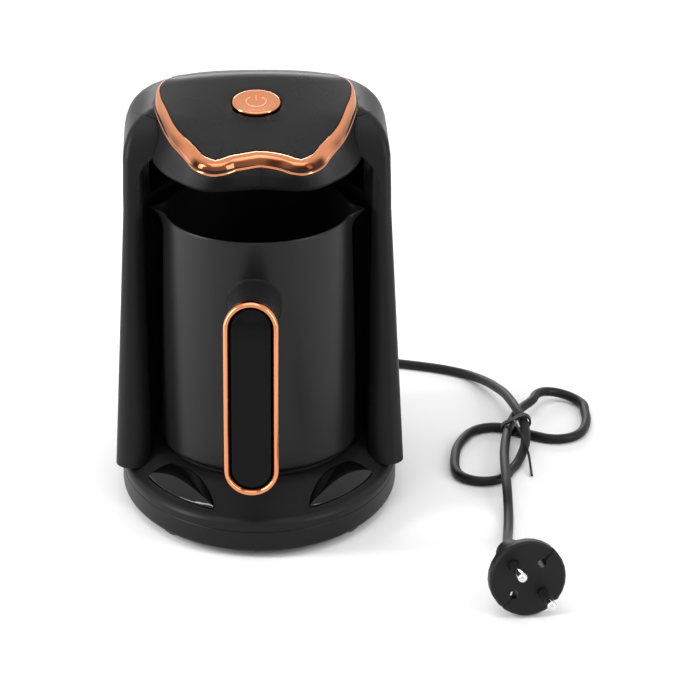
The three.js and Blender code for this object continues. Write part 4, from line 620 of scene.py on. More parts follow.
def trim_width(point):
    front = eased((point[1] + HEAD_FRONT) / HEAD_FRONT)
    rear = eased((point[1] - TRIM_TAPER_START) / (TRIM_TAPER_END - TRIM_TAPER_START))
    return mix(mix(TRIM_FRONT, TRIM_SIDE, front), TRIM_REAR, rear)


def trim_height(point):
    rear = eased((point[1] - TRIM_DROP_START) / TRIM_DROP_LENGTH)
    return TRIM_HEIGHT * mix(1, TRIM_REAR_SHARE, rear)


trim_rings = []
for across, down in TRIM_SECTION:
    moved = inward(head_outline, lambda point: across * trim_width(point))
    trim_rings.append([
        (x, y, top_surface(x, y) - down * trim_height(start))
        for (x, y), start in zip(moved, head_outline)
    ])
# where the trim's skirt gets the painted dark reflection, and how strong it is in each ring of the section
REFLECTION_FRONT, REFLECTION_FRONT_FADE = 33, 5  # how far ahead the painted dark reflection starts
REFLECTION_HALF, REFLECTION_HALF_FADE = 33, 3
REFLECTION_SIDE, REFLECTION_SIDE_FRONT, REFLECTION_SIDE_FADE, REFLECTION_SIDE_REAR = 0.6, 30, 12, 20
SKIRT_PAINTED_REFLECTION = [0, 0, 0, 0, 0, 0.1, 0.4, 0.85, 1, 1, 1, 0.9, 0.5, 0.1, 0, 0, 0, 0, 0]


def trim_painted_reflection(level, place):
    """Painted dark reflection: the skirt is darkened under the notch and the lobes, and a little along the
    sides.
    """
    x, y, _ = place
    front = eased((-y - REFLECTION_FRONT) / REFLECTION_FRONT_FADE)
    front *= eased((REFLECTION_HALF - abs(x)) / REFLECTION_HALF_FADE)
    side = REFLECTION_SIDE * eased((y + REFLECTION_SIDE_FRONT) / REFLECTION_SIDE_FADE)
    side *= eased((REFLECTION_SIDE_REAR - y) / REFLECTION_SIDE_REAR)
    return SKIRT_PAINTED_REFLECTION[level] * max(front, side)


trim_mesh = skin(trim_rings, closed=True, painted_reflection_of=trim_painted_reflection)
piece_from(trim_mesh, 50, "trim_band", COPPER, "machine", ["copper_trim"])

# %% [markdown]
# ### Panel
# The panel fills the trim with one smooth crowned surface and has a round hole for the button. The rings
# run from its outline to the hole, so that the surface stays even all the way. A flat plate with a hole cut
# through it would be quicker, but its long thin faces would show in the highlight.

# %% Panel
BUTTON_Y = 10.5
BUTTON_RADIUS = 11.1
BUTTON_HOLE = 11.85
PANEL_THICKNESS, PANEL_GAP, PANEL_ROUND, HOLE_ROUND = 2.2, 0.12, 0.7, 0.4
PANEL_EDGE = [(0, PANEL_THICKNESS), (0, 0.42), (0.1, 0.16), (0.32, 0.03)]  # inwards and down, in mm
panel_outline = inward(head_outline, lambda point: trim_width(point) + PANEL_GAP)


def hole_ring(radius):
    ring = []
    for x, y in panel_outline:
        turn = math.atan2(y - BUTTON_Y, x)
        ring.append((radius * math.cos(turn), BUTTON_Y + radius * math.sin(turn)))
    return ring


def between(start, end, share):
    """An outline at a share of the way from one to another."""
    return [(mix(a, c, share), mix(b, d, share)) for (a, b), (c, d) in zip(start, end)]


edge, hole = inward(panel_outline, PANEL_ROUND), hole_ring(BUTTON_HOLE + HOLE_ROUND)
panel_rings = [on_top(panel_outline, inset, drop) for inset, drop in PANEL_EDGE]
panel_rings += [on_top(between(edge, hole, share), 0, 0) for share in spread(0, 1, 10)]
panel_rings += [on_top(hole_ring(BUTTON_HOLE), 0, drop) for drop in (0.3, PANEL_THICKNESS)]
piece_from(skin(panel_rings, closed=True), 40, "panel_plate", PANEL, "machine", ["top_panel"])

# %% [markdown]
# ### Button
# The button is a turned cap with a shallow dish and a rounded rim, and a flange under the panel keeps it in
# its guide. A profile turned once round the axis gives all of that at once. The cap tilts with the panel.

# %% Button
button_centre = Vector((0, BUTTON_Y, top_surface(0, BUTTON_Y))) * MM
button_place = Matrix.Translation(button_centre) @ Matrix.Rotation(math.atan(HEAD_SLOPE), 4, "X")
FLANGE_RADIUS, FLANGE_TOP, FLANGE_BOTTOM = BUTTON_RADIUS + 0.9, -2.6, -3.6
BUTTON_PROFILE = [
    (0, 0.95), (3, 0.98), (6, 1.08), (8.4, 1.25), (9.6, 1.38), (10.2, 1.4), (10.65, 1.3), (10.95, 1.05),
    (BUTTON_RADIUS, 0.6), (BUTTON_RADIUS, FLANGE_TOP), (FLANGE_RADIUS, FLANGE_TOP),
    (FLANGE_RADIUS, FLANGE_BOTTOM), (0, FLANGE_BOTTOM),
]
button_mesh = turned_profile(BUTTON_PROFILE, 96, button_place)
piece_from(button_mesh, 40, "button_cap", COPPER, "button", ["power_button"])

# %% [markdown]
# ### Sign on the button
# The sign that says on and off is an open ring and a bar, raised a little from the cap. One small rounded
# section runs along both, as a bead of moulding does.

# %% Sign
SIGN_RADIUS, SIGN_HALF_WIDTH, SIGN_HEIGHT, SIGN_FOOT = 4.6, 0.36, 0.22, 1.0
BAR_START, BAR_END = 0.4, 5.6
SIGN_OPENING = math.radians(34)
SIGN_SECTION = [(-1, -1), (-1, 0.4), (-0.6, 0.9), (0, 1), (0.6, 0.9), (1, 0.4), (1, -1)]


def sign_ring(point, across):
    """The section of the sign at a point of its line, on the tilted cap."""
    ring = []
    for u, v in SIGN_SECTION:
        local = Vector((*(point + across * u * SIGN_HALF_WIDTH), SIGN_FOOT + v * SIGN_HEIGHT))
        ring.append(tuple(button_place @ (local * MM) / MM))
    return ring


arc = []
for turn in spread(math.pi / 2 + SIGN_OPENING, 5 * math.pi / 2 - SIGN_OPENING, 40):
    out = Vector((math.cos(turn), math.sin(turn)))
    arc.append(sign_ring(out * SIGN_RADIUS, out))
bar = [sign_ring(Vector((0, y)), Vector((1, 0))) for y in spread(BAR_START, BAR_END, 4)]
SIGN = finish_of("sign on the button", (0.66, 0.24, 0.12), (0.74, 0.30, 0.16), (0.3, 0.4), Metallic=1.0)
piece_from(both(skin(arc), skin(bar)), 40, "button_sign", SIGN, "button", slot="copper", weighted=False)

# %% [markdown]
# ## Plan of the body
# Ears, column and shoulders share one plan, which changes slowly with height: a rounded nose on each ear, a
# flank, the rear, and the round bay between the ears. Above the shoulders the same plan is drawn in towards
# the crest, as a dome. One function of the height gives every level, so the mouldings meet without a step.

# %% Body outline
REAR_POWER, DOME_POWER = 2.6, 4.5
DOME_CENTRE, DOME_RISE = 40.0, 36.0
BAY_FOOT, BAY_TOP = 50.5, 52.2
FOOT_HALF, TOP_HALF = BODY_HIGH[0], 61.5
EAR_FOOT_REACH, EAR_TOP_REACH, EAR_CREST = 23.0, 3.0, 33.0
REAR_DRAFT = 2.5
NOSE_APEX, NOSE_DEPTH = 0.6, 1.18
WALL = 2.2
FLANK_STEPS, NOSE_STEPS, BAY_STEPS = 60, 16, 40
BESIDE_BAY_SHARE, BESIDE_OUTER_SHARE = 0.6, 0.9


def dome_height(degrees, inset=0.0):
    return SHOULDER_Z + (DOME_RISE - inset) * math.sin(math.radians(degrees)) ** (2 / DOME_POWER)


def body_ring(z, inset=0.0, beside_head=False, open_bay=True):
    """Nose, flank, rear, flank and nose of one level, and the bay between the noses if it is open."""
    lift = clamped((z - BODY_BOTTOM) / (SHOULDER_Z - BODY_BOTTOM))
    flare = clamped((z - BODY_BOTTOM) / (RIM_Z - BODY_BOTTOM))
    rise = clamped((z - SHOULDER_Z) / (DOME_RISE - inset))
    shrink = (1 - rise**DOME_POWER) ** (1 / DOME_POWER)
    half = mix(FOOT_HALF, TOP_HALF, flare)
    reach = REAR_REACH - REAR_DRAFT * lift - DOME_CENTRE - inset
    flank = []
    for turn in spread(0, math.pi, FLANK_STEPS):
        x, y = rounded_point(turn, half - inset, reach, REAR_POWER)
        flank.append((x * shrink, DOME_CENTRE + y * shrink))
    outer = flank[0][0]
    bay = mix(BAY_FOOT, BAY_TOP, flare)
    inner = min(bay * BESIDE_BAY_SHARE, outer * BESIDE_OUTER_SHARE) if beside_head else bay + inset
    ear_reach = mix(EAR_FOOT_REACH, EAR_TOP_REACH, lift) - inset
    front = EAR_CREST - (EAR_CREST + ear_reach) * math.sqrt(1 - rise**2)
    middle = outer * mix((bay + inset) / (half - inset), 1, NOSE_APEX)
    depth = (outer - middle) * NOSE_DEPTH
    right = []
    for turn in spread(0, math.pi, NOSE_STEPS):
        width = middle - inner if turn < math.pi / 2 else outer - middle
        right.append((middle - width * math.cos(turn), front + depth * (1 - math.sin(turn))))
    left = [(-x, y) for x, y in reversed(right)]
    turns = spread(math.pi, 0, BAY_STEPS)[1:-1] if open_bay else []
    hollow = [(inner * math.cos(t), inner * math.sin(t)) for t in turns]
    return [(x, y, z) for x, y in (*right[:-1], *flank, *left[1:], *hollow)]


print("points of a level:", len(body_ring(RIM_Z)))

# %% [markdown]
# ### Seam
# The seam between head and ears runs from the head out and back to each flank, in a soft S. Everything
# behind it is one block, which keeps the shoulders' part of the dome and takes it from the ears.

# %% Seam
FAR_SIDE, FAR_REAR, FAR_UP = 90, 95, 40  # beyond the body, for the blocks that keep or cut
DOME_TURNS = [8, 16, 24, 31, 38, 45, 52, 58, 64, 69, 73, 77, 80, 83, 86, 88]
COVER_SPLIT = SHOULDER_Z + 16.5
SEAM_OUTER_Y, SEAM_INNER_Y = 38.0, 14.0
SEAM_RUN_IN, SEAM_RUN_OUT, SEAM_STEPS = 6, 20, 5
SEAM_SHARES = [(0, 0), (0.145, 0.025), (0.362, 0.125), (0.618, 0.525), (0.783, 0.94), (1, 1)]


def seam_block(shift, low):
    """Everything behind the seam that curves from the head out and back to each flank."""
    right = [
        (mix(HEAD_HALF, TOP_HALF, a), mix(SEAM_INNER_Y, SEAM_OUTER_Y, b) + shift) for a, b in SEAM_SHARES
    ]
    (first_x, first_y), (last_x, last_y) = right[0], right[-1]
    ends = [(first_x - SEAM_RUN_IN, first_y), *right, (last_x + SEAM_RUN_OUT, last_y)]
    curve = [tuple(p) for p in centripetal([Vector(p) for p in ends], SEAM_STEPS)]
    outline = [*[(-x, y) for x, y in reversed(curve)], *curve, (FAR_SIDE, FAR_REAR), (-FAR_SIDE, FAR_REAR)]
    return upright(outline, low, HEAD_TOP + FAR_UP)


print("seam from", SEAM_INNER_Y, "to", SEAM_OUTER_Y, "mm")

# %% [markdown]
# ### Tub
# The tub's lower edge follows the bay and is well rounded, and its wall turns into the outline of the trim
# on the way up. It is hollow: the rings go up the outside, in over the seat of the trim and the panel, down
# the guide of the button and back along the inside.

# %% Tub
HEAD_ROUND = 4.0
TUB_ROUND = [(0, 1), (0.08, 0.61), (0.25, 0.34), (0.5, 0.13), (0.75, 0.03), (1, 0)]
BLEND_SHARE = 0.6


def head_ring(z, inset):
    share = eased((z - HEAD_BOTTOM) / ((HEAD_TOP - HEAD_BOTTOM) * BLEND_SHARE))
    return [(x, y, z) for x, y in inward(between(head_foot, head_outline, share), inset)]


def under_trim(outline, height_share, gap):
    """The outline laid just under the trim's lower edge."""
    return [(x, y, top_surface(x, y) - height_share * trim_height((x, y)) - gap) for x, y in outline]


def seat(point):
    return trim_width(point) + SEAT_LEDGE


TRIM_SEAT, SEAT_LEDGE, SEAT_GAP = TRIM_HEIGHT + 0.1, 0.5, 0.2
GUIDE_WALL, GUIDE_DEPTH, FLOOR_LEDGE = 1.3, 2, 2.2
blend_high = HEAD_BOTTOM + (HEAD_TOP - HEAD_BOTTOM) * BLEND_SHARE
guide = hole_ring(BUTTON_HOLE + GUIDE_WALL)
tub_rings = [head_ring(HEAD_BOTTOM, WALL + FLOOR_LEDGE)]
tub_rings += [head_ring(HEAD_BOTTOM + up * HEAD_ROUND, tuck * HEAD_ROUND) for up, tuck in TUB_ROUND]
tub_rings += [head_ring(z, 0) for z in spread(HEAD_BOTTOM + HEAD_ROUND, blend_high, 7)[1:]]
tub_rings += [
    under_trim(head_outline, 1.02, 0.05),
    on_top(head_outline, seat, TRIM_SEAT), on_top(head_outline, seat, PANEL_THICKNESS + SEAT_GAP),
    on_top(guide, 0, PANEL_THICKNESS + SEAT_GAP), on_top(guide, 0, TRIM_SEAT + GUIDE_DEPTH),
    on_top(head_outline, lambda point: seat(point) + WALL, TRIM_SEAT + GUIDE_DEPTH),
]
tub_rings += [head_ring(z, WALL) for z in (blend_high, HEAD_BOTTOM + HEAD_ROUND)]
tub = skin(tub_rings, closed=True)
print("tub faces:", len(tub.faces))

# %% [markdown]
# ### Shoulders
# The two shoulders are domes over the ears, behind the seam. They are part of the head's moulding, hollow
# like the tub, and stand back a little where the trim passes.

# %% Shoulders
TRIM_SPACE, SPLIT_STEP = 0.75, 0.5
inner_domes = [dome_height(turn, WALL) for turn in DOME_TURNS[::2]]
levels = [COVER_SPLIT, *[z for z in map(dome_height, DOME_TURNS) if z > COVER_SPLIT + SPLIT_STEP]]
shoulders = skin([body_ring(z, 0, True, False) for z in levels])
inside = [COVER_SPLIT - 2, *[z for z in inner_domes if z > COVER_SPLIT + SPLIT_STEP]]
spared = inward(head_outline, -TRIM_SPACE)
trim_space = skin([under_trim(spared, 1.03, 0.1), [(x, y, HEAD_TOP + FAR_UP) for x, y in spared]])
shoulders = carved(
    shoulders, ("INTERSECT", seam_block(0, COVER_SPLIT - 1)),
    ("DIFFERENCE", skin([body_ring(z, WALL, True, False) for z in inside])), ("DIFFERENCE", trim_space),
)
piece_from(both(tub, shoulders), 34, "head_moulding", SATIN, "machine", ["head_housing"])

# %% [markdown]
# ## Body
# The column and the two ears are one moulding, open in the middle for the pot. Beside the head the ears
# reach in as webs until they meet its walls. The rear cover closes the column from behind.

# %% Outside of the ears
ROUND_TOP = HEAD_BOTTOM + HEAD_ROUND
WEB_INNER, WEB_OUTER, WEB_RISE, WEB_FALL = 43.0, 56.8, 4.8, 17.0  # the arch under each web
WEB_MARGIN = 2
low_levels = spread(BODY_BOTTOM, RIM_Z, 8) + [SHOULDER_Z]
domes = [dome_height(t) for t in DOME_TURNS]
plain = skin([body_ring(z) for z in [*low_levels, *[z for z in domes if z < ROUND_TOP], ROUND_TOP]])
beside = skin([body_ring(z, 0, True, False) for z in [SHOULDER_Z, *domes]])
arch_foot = HEAD_BOTTOM - WEB_FALL
arch = [
    (WEB_INNER + (WEB_OUTER - WEB_INNER) * math.sin(t), arch_foot + (WEB_RISE + WEB_FALL) * math.cos(t))
    for t in spread(0, math.pi / 2, 14)
]
web_right = [*arch, (TOP_HALF + WEB_MARGIN, arch_foot), (TOP_HALF + WEB_MARGIN, HEAD_TOP + FAR_UP)]
web_edge = [*web_right, *[(-x, z) for x, z in reversed(web_right)]]
web_block = skin([[(x, y, z) for x, z in web_edge] for y in (FAR_REAR, -HEAD_FRONT)])
beside = carved(beside, ("INTERSECT", web_block))
print("web faces:", len(beside.faces))

# %% [markdown]
# ### What is cut from the ears
# The head stands in the ears with a hair of air round it, the column is hollow, and its rear half is open
# for the rear cover, up to the seam. Each of these is a closed block made from the same plan, cut away in
# one step.

# %% Ears and column
SLIT, SEAM_SLIT, SPLIT_Y = 0.08, 0.4, 41.0
BELOW, BAY_ROUND_STEPS = 2, 96
head_space = skin([
    *[head_ring(z, -SLIT) for z in spread(HEAD_BOTTOM - 20, blend_high, 10)],
    [(x, y, HEAD_TOP + FAR_UP) for x, y in inward(head_outline, -SLIT)],
])
hollow_high = max(ROUND_TOP, COVER_SPLIT)
hollow_levels = [BODY_BOTTOM - BELOW, RIM_Z, SHOULDER_Z]
hollow_levels += [*[z for z in inner_domes if z < hollow_high], hollow_high]
hollow = skin([[(x, y, z) for x, y, _ in body_ring(max(z, BODY_BOTTOM), WALL)] for z in hollow_levels])


def bay_ring(radius, z):
    turns = spread(0, 2 * math.pi, BAY_ROUND_STEPS)[:-1]
    return [(radius * math.cos(t), radius * math.sin(t), z) for t in turns]


bay_wall = skin([bay_ring(BAY_FOOT + WALL, BODY_BOTTOM - 3), bay_ring(BAY_TOP + WALL, RIM_Z),
                 bay_ring(BAY_TOP + WALL, HEAD_TOP + FAR_UP)])
behind = carved(
    box_of((-FAR_SIDE, SPLIT_Y - GAP, BODY_BOTTOM - BELOW), (FAR_SIDE, FAR_REAR, COVER_SPLIT + 3)),
    ("DIFFERENCE", bay_wall),
)
body_mesh = carved(
    plain, ("UNION", beside), ("DIFFERENCE", head_space), ("DIFFERENCE", hollow), ("DIFFERENCE", behind),
    ("DIFFERENCE", seam_block(-SEAM_SLIT, COVER_SPLIT - SEAM_SLIT)),
)
piece_from(body_mesh, 34, "ears_and_column", SATIN, "machine", ["body_shell"])

# %% [markdown]
# ## Pot
# The pot is a thin tapered can with a small pouring lip drawn out of its rim at each side. The rings are
# closer in angle where a lip is, and closer in height near the rim. Its wall is followed up outside, over
# the rolled rim and down inside again, so that the pot is one open vessel with a real wall.

# %% Pot shell
POT_BOTTOM = POT_LOW[2]
POT_FOOT, POT_RIM = 46.3, 43.1
POT_TURN = Matrix.Rotation(math.radians(-3.3), 4, "Z")
POT_WALL, POT_FLOOR, POT_CORNER = 1.2, 1.6, 3.0
SPOUT_REACH, SPOUT_HEIGHT, SPOUT_TURN = 6.6, 10.0, 12.0
SPOUT_RISE, SPOUT_SIDE = 2.0, 1.3
RIM_ROUND = [  # shares of the wall inwards, and mm down from the rim
    (0, 1.1), (0.03, 0.5), (0.14, 0.17), (0.36, 0.0), (0.64, 0.0), (0.86, 0.17), (0.97, 0.5), (1, 1.1),
]
RIM_START, INNER_CORNER, LIP_CROWDING, QUARTER_STEPS = 1.4, 2, 1.7, 34


def pot_radius(z):
    return mix(POT_FOOT, POT_RIM, (z - POT_BOTTOM) / (RIM_Z - POT_BOTTOM))


# angles of a quarter turn, much closer near its start, where the lip is
quarter = [(share**LIP_CROWDING) * math.pi / 2 for share in spread(0, 1, QUARTER_STEPS)]
pot_turns = [
    *quarter[:-1], *[math.pi - t for t in reversed(quarter)][:-1],
    *[math.pi + t for t in quarter][:-1], *[2 * math.pi - t for t in reversed(quarter)][:-1],
]


def pot_ring(z, inset):
    rise = clamped((z - RIM_Z + SPOUT_HEIGHT) / SPOUT_HEIGHT) ** SPOUT_RISE
    ring = []
    for turn in pot_turns:
        off = math.asin(abs(math.sin(turn))) / math.radians(SPOUT_TURN)
        lip = SPOUT_REACH * rise * clamped(1 - off) ** SPOUT_SIDE
        radius = pot_radius(z) - inset + lip
        ring.append((radius * math.cos(turn), radius * math.sin(turn), z))
    return ring


corner = [
    (POT_BOTTOM + POT_CORNER * (1 - math.cos(t)), POT_CORNER * (1 - math.sin(t)))
    for t in spread(0, math.pi / 2, 6)
]
wall_levels = [*spread(POT_BOTTOM + POT_CORNER, RIM_Z - SPOUT_HEIGHT, 6)[1:],
               *spread(RIM_Z - SPOUT_HEIGHT, RIM_Z - RIM_START, 8)[1:]]
pot_rings = [pot_ring(z, tuck) for z, tuck in corner] + [pot_ring(z, 0) for z in wall_levels]
pot_rings += [pot_ring(RIM_Z - down, across * POT_WALL) for across, down in RIM_ROUND]
pot_rings += [pot_ring(z, POT_WALL) for z in reversed(wall_levels)]
pot_rings += [
    pot_ring(POT_BOTTOM + POT_FLOOR + INNER_CORNER * (1 - math.cos(t)),
             POT_WALL + INNER_CORNER * (1 - math.sin(t)))
    for t in reversed(spread(0, math.pi / 2, 4))
]


def pot_piece(mesh, name, material, node, weighted=True):
    """A piece of the pot, turned with it."""
    bmesh.ops.transform(mesh, matrix=POT_TURN, verts=mesh.verts)
    piece_from(mesh, 40, name, material, "pot", [node], weighted=weighted)


pot_piece(skin(pot_rings), "pot_can", POT, "pot_shell")

# %% [markdown]
# ### Handle
# The handle is a long rounded plate whose top leans back towards the pot. A plated ring runs round a glossy
# face, a plain core lies behind both, and a short arched bracket joins it to the wall of the pot. Ring, face
# and core are outlines of one long round shape, moved inwards and back, so they always fit each other.

# %% Handle outline
HANDLE_REACH, HANDLE_LEAN, LEAN_POWER = -RING_LOW[1] - 0.04, 7.0, 2.6
HANDLE_SHORTER, HANDLE_HALF, HANDLE_THICK = 1.2, 12.3, 15.2
HANDLE_TOP, HANDLE_BOTTOM = RING_HIGH[2] - HANDLE_SHORTER, RING_LOW[2] + HANDLE_SHORTER
RING_WIDTH, RING_DEPTH = 3.2, 5.0
ARC_STEPS, SIDE_STEPS = 24, 16
FULL_LENGTH = RING_HIGH[2] - RING_LOW[2]


def handle_front(z):
    return HANDLE_REACH - HANDLE_LEAN * clamped((z - RING_LOW[2]) / FULL_LENGTH) ** LEAN_POWER


def handle_ring_at(inset, depth):
    """The handle's outline, moved inwards, at a depth behind its curved front."""
    radius = max(0.0, HANDLE_HALF - inset)
    ring = []
    for side, start, end in ((1, HANDLE_TOP - HANDLE_HALF, HANDLE_BOTTOM + HANDLE_HALF),
                             (-1, HANDLE_BOTTOM + HANDLE_HALF, HANDLE_TOP - HANDLE_HALF)):
        for t in spread(0, math.pi, ARC_STEPS):
            ring.append((side * radius * math.cos(t), start + side * radius * math.sin(t)))
        ring += [(-side * radius, z) for z in spread(start, end, SIDE_STEPS)[1:-1]]
    return [(x, -handle_front(z) + depth, z) for x, z in ring]


print("handle from", round(HANDLE_BOTTOM, 1), "to", round(HANDLE_TOP, 1), "mm")

# %% [markdown]
# ### Ring of the handle
# The ring is the outline carried round a small section that closes on itself, like the trim. Its outer side
# is round, and the flank towards the face is steep, so a thin dark line shows beside the bright band; a
# painted dark reflection on that flank darkens it further.

# %% Ring
RING_SECTION = [  # inwards and back, in mm: a rounded outer side, and a steep flank down to the face
    (0.1, RING_DEPTH), (0, 4.6), (0, 2.0), (0.08, 1.3), (0.28, 0.75), (0.6, 0.3), (1.0, 0.06), (1.4, 0),
    (1.75, 0.1), (2.05, 0.4), (2.35, 0.9), (2.65, 1.5), (2.95, 2.2), (RING_WIDTH, 3.0),
    (RING_WIDTH, RING_DEPTH),
]
# how strong the painted dark reflection is on the flank beside the face, by height and by ring of the section
FLANK_REFLECTION_LOW, FLANK_REFLECTION_START, FLANK_REFLECTION_LENGTH = 0.35, 60, 45
FLANK_PAINTED_REFLECTION = [0, 0, 0, 0, 0, 0, 0, 0, 0.15, 0.5, 0.85, 1, 1, 1, 1]


def ring_painted_reflection(level, place):
    """Painted dark reflection: the flank beside the face is darkened, most of all in the handle's upper half.
    """
    high = eased((place[2] - FLANK_REFLECTION_START) / FLANK_REFLECTION_LENGTH)
    return FLANK_PAINTED_REFLECTION[level] * mix(FLANK_REFLECTION_LOW, 1, high)


ring_mesh = skin([handle_ring_at(u, v) for u, v in RING_SECTION], closed=True, painted_reflection_of=ring_painted_reflection)
pot_piece(ring_mesh, "handle_ring_band", COPPER, "handle_ring", weighted=False)

# %% [markdown]
# ### Face of the handle
# The face is a thin polished plate with a slight crown, let into the ring. Rings that shrink to the middle
# line give the crown without a pole in the middle of the highlight.

# %% Face
FACE_INSET = RING_WIDTH + 0.1
FACE_DEPTH, FACE_CROWN, FACE_BACK, FACE_ROUND = 1.9, 0.35, 4.4, 0.35
FACE_EDGE = [(0, FACE_BACK), (0, FACE_DEPTH + 0.5), (0.1, FACE_DEPTH + 0.15), (FACE_ROUND, FACE_DEPTH)]
face_rings = [handle_ring_at(mix(FACE_INSET, HANDLE_HALF, s), FACE_BACK) for s in spread(1, 0, 3)[:-1]]
face_rings += [handle_ring_at(FACE_INSET + inset, depth) for inset, depth in FACE_EDGE]
for share in spread(0, 1, 6)[1:]:
    crown = FACE_CROWN * math.sin(share * math.pi / 2)
    face_rings.append(handle_ring_at(mix(FACE_INSET + FACE_ROUND, HANDLE_HALF, share), FACE_DEPTH - crown))
pot_piece(skin(face_rings), "handle_face_plate", FACE, "handle_face", weighted=False)

# %% [markdown]
# ### Core of the handle
# The core behind the face is the part that the fingers hold: full in the middle, rounded towards its back.

# %% Core
CORE_INSET, CORE_SHOULDER, CORE_ROUND_IN, CORE_ROUND_BACK = 0.35, 10, 4.6, 5.2
core_rings = [handle_ring_at(mix(HANDLE_HALF, 0.5, s), RING_DEPTH + 0.15) for s in spread(0, 1, 3)]
core_rings += [handle_ring_at(CORE_INSET, RING_DEPTH + 0.4), handle_ring_at(CORE_INSET, CORE_SHOULDER)]
core_rings += [
    handle_ring_at(CORE_INSET + CORE_ROUND_IN * (1 - math.cos(t)),
                   CORE_SHOULDER + CORE_ROUND_BACK * math.sin(t))
    for t in spread(0, math.pi / 2, 7)[1:]
]
core_rings += [handle_ring_at(mix(CORE_INSET + CORE_ROUND_IN, HANDLE_HALF, s), HANDLE_THICK)
               for s in spread(0, 1, 3)[1:]]
pot_piece(skin(core_rings), "handle_core_body", SATIN, "handle_core")

# %% [markdown]
# ### Bracket
# The bracket is a short rounded arm. It starts wide on the pot's curved wall, as a fillet, and narrows
# towards the core. Its first ring lies on the wall itself, so no gap can open between the two.

# %% Bracket
BRACKET_Z, BRACKET_SUNK_IN_CORE, BRACKET_WALL_GAP = RIM_Z - 30.3, 0.8, 0.5
BRACKET_HALF_WIDTH, BRACKET_HALF_HEIGHT, BRACKET_POWER = 11.6, 12.2, 2.2
BRACKET_LEVELS = [(0, 1.12), (0.05, 1.055), (0.12, 1.02), (0.25, 1.0), (0.6, 0.97), (1, 0.93)]
bracket_rings = []
for share, scale in BRACKET_LEVELS:
    ring = []
    for turn in spread(0, 2 * math.pi, 72)[:-1]:
        x, z = rounded_point(turn, BRACKET_HALF_WIDTH * scale, BRACKET_HALF_HEIGHT * scale, BRACKET_POWER)
        z += BRACKET_Z
        start = -math.sqrt(pot_radius(z) ** 2 - x * x) + BRACKET_WALL_GAP
        end = -handle_front(z) + HANDLE_THICK - BRACKET_SUNK_IN_CORE
        ring.append((x, mix(start, end, share), z))
    bracket_rings.append(ring)
pot_piece(skin(bracket_rings), "handle_bracket_arch", SATIN, "handle_bracket")

# %% [markdown]
# ## Base
# The base is a low oval pan with a cover. The cover's deck rises from a soft crease up to the round rim
# beside the heating plate, and carries two glossy leaf-shaped lenses, each in a fine groove.

# %% Base outline
REAR_TUCK, BASE_WAIST = 1.35, 5.0
CREASE_INSET, PLATE_HOLE = 4.2, 43.2
APRON_STEPS = 64


def base_outline(inset):
    rear = [rounded_point(t, BASE_HALF - inset, REAR_REACH - REAR_TUCK - DOME_CENTRE - inset, REAR_POWER)
            for t in spread(0, math.pi, FLANK_STEPS)]
    front = [rounded_point(t, BASE_HALF - inset, BASE_FRONT + BASE_WAIST - inset, 2)
             for t in spread(math.pi, 2 * math.pi, APRON_STEPS)]
    return [*[(x, y + DOME_CENTRE) for x, y in rear], *[(x, y + BASE_WAIST) for x, y in front]]


def base_ring(inset, z):
    return [(x, y, z) for x, y in base_outline(inset)]


def round_ring(radius, z):
    turns = [math.atan2(y, x) for x, y in base_outline(0)]
    return [(radius * math.cos(t), radius * math.sin(t), z) for t in turns]


def crease_distance(turn):
    """From the axis to the crease, in the direction turned from straight ahead."""
    half, reach = BASE_HALF - CREASE_INSET, BASE_FRONT + BASE_WAIST - CREASE_INSET
    across, ahead = math.sin(turn) / half, math.cos(turn) / reach
    a, b, c = across**2 + ahead**2, 2 * BASE_WAIST * ahead / reach, (BASE_WAIST / reach) ** 2 - 1
    return (-b + math.sqrt(b * b - 4 * a * c)) / (2 * a)


def deck_height(x, y):
    edge_reach = crease_distance(math.atan2(abs(x), -y))
    share = clamped((edge_reach - math.hypot(x, y)) / (edge_reach - BAY_FOOT - GAP))
    return mix(CREASE_Z, DECK_Z, share)


print("base outline points:", len(base_outline(0)))

# %% [markdown]
# ### Cover
# The cover's wall turns over a soft crease into the deck, which rises to the rim round the heating plate.
# Its rings go in over the deck, down into the well of the plate and back along the underside, so the cover
# is a real moulding with one wall all round.

# %% Cover
COVER_LIP, WELL_DEPTH, RIM_LEDGE = 1.2, 5, 0.8
CREASE_SOFT = [(0, 2.9), (0.08, 2.2), (0.22, 1.45), (0.42, 0.82), (0.68, 0.36), (1, 0)]
WELL = [  # radius and depth under the deck, from the rim down into the well and back underneath
    (BAY_FOOT - RIM_LEDGE, 0), (PLATE_HOLE + HOLE_ROUND, 0), (PLATE_HOLE, HOLE_ROUND),
    (PLATE_HOLE, WELL_DEPTH), (PLATE_HOLE + WALL, WELL_DEPTH), (PLATE_HOLE + WALL, WALL),
    (BAY_FOOT, WALL + 0.2),
]
cover_rings = [base_ring(0, COVER_BOTTOM), base_ring(0, COVER_BOTTOM + COVER_LIP)]
cover_rings += [base_ring(CREASE_INSET * tuck, CREASE_Z - fall) for tuck, fall in CREASE_SOFT]
crease_ring = cover_rings[-1]
for share in (0.25, 0.5, 0.75, 0.93):
    cover_rings.append([
        tuple(mix(a, b, share) for a, b in zip(start, end))
        for start, end in zip(crease_ring, round_ring(BAY_FOOT + GAP, DECK_Z))
    ])
cover_rings += [round_ring(radius, DECK_Z - down) for radius, down in WELL]
cover_rings += [base_ring(CREASE_INSET + 1, CREASE_Z - WALL), base_ring(WALL, CREASE_Z - 4),
                base_ring(WALL, COVER_BOTTOM)]
cover_mesh = skin(cover_rings, closed=True)
print("rings of the cover:", len(cover_rings))

# %% [markdown]
# ### Lenses
# Each lens is a pointed leaf of polished plastic that stands a little proud of the deck, in a fine groove.
# Its edge is one flat arc and one fuller curve between the same two tips. The rings shrink towards the line
# midway between both, so the dome follows the leaf to its tips, which a scaled copy of the edge would not.

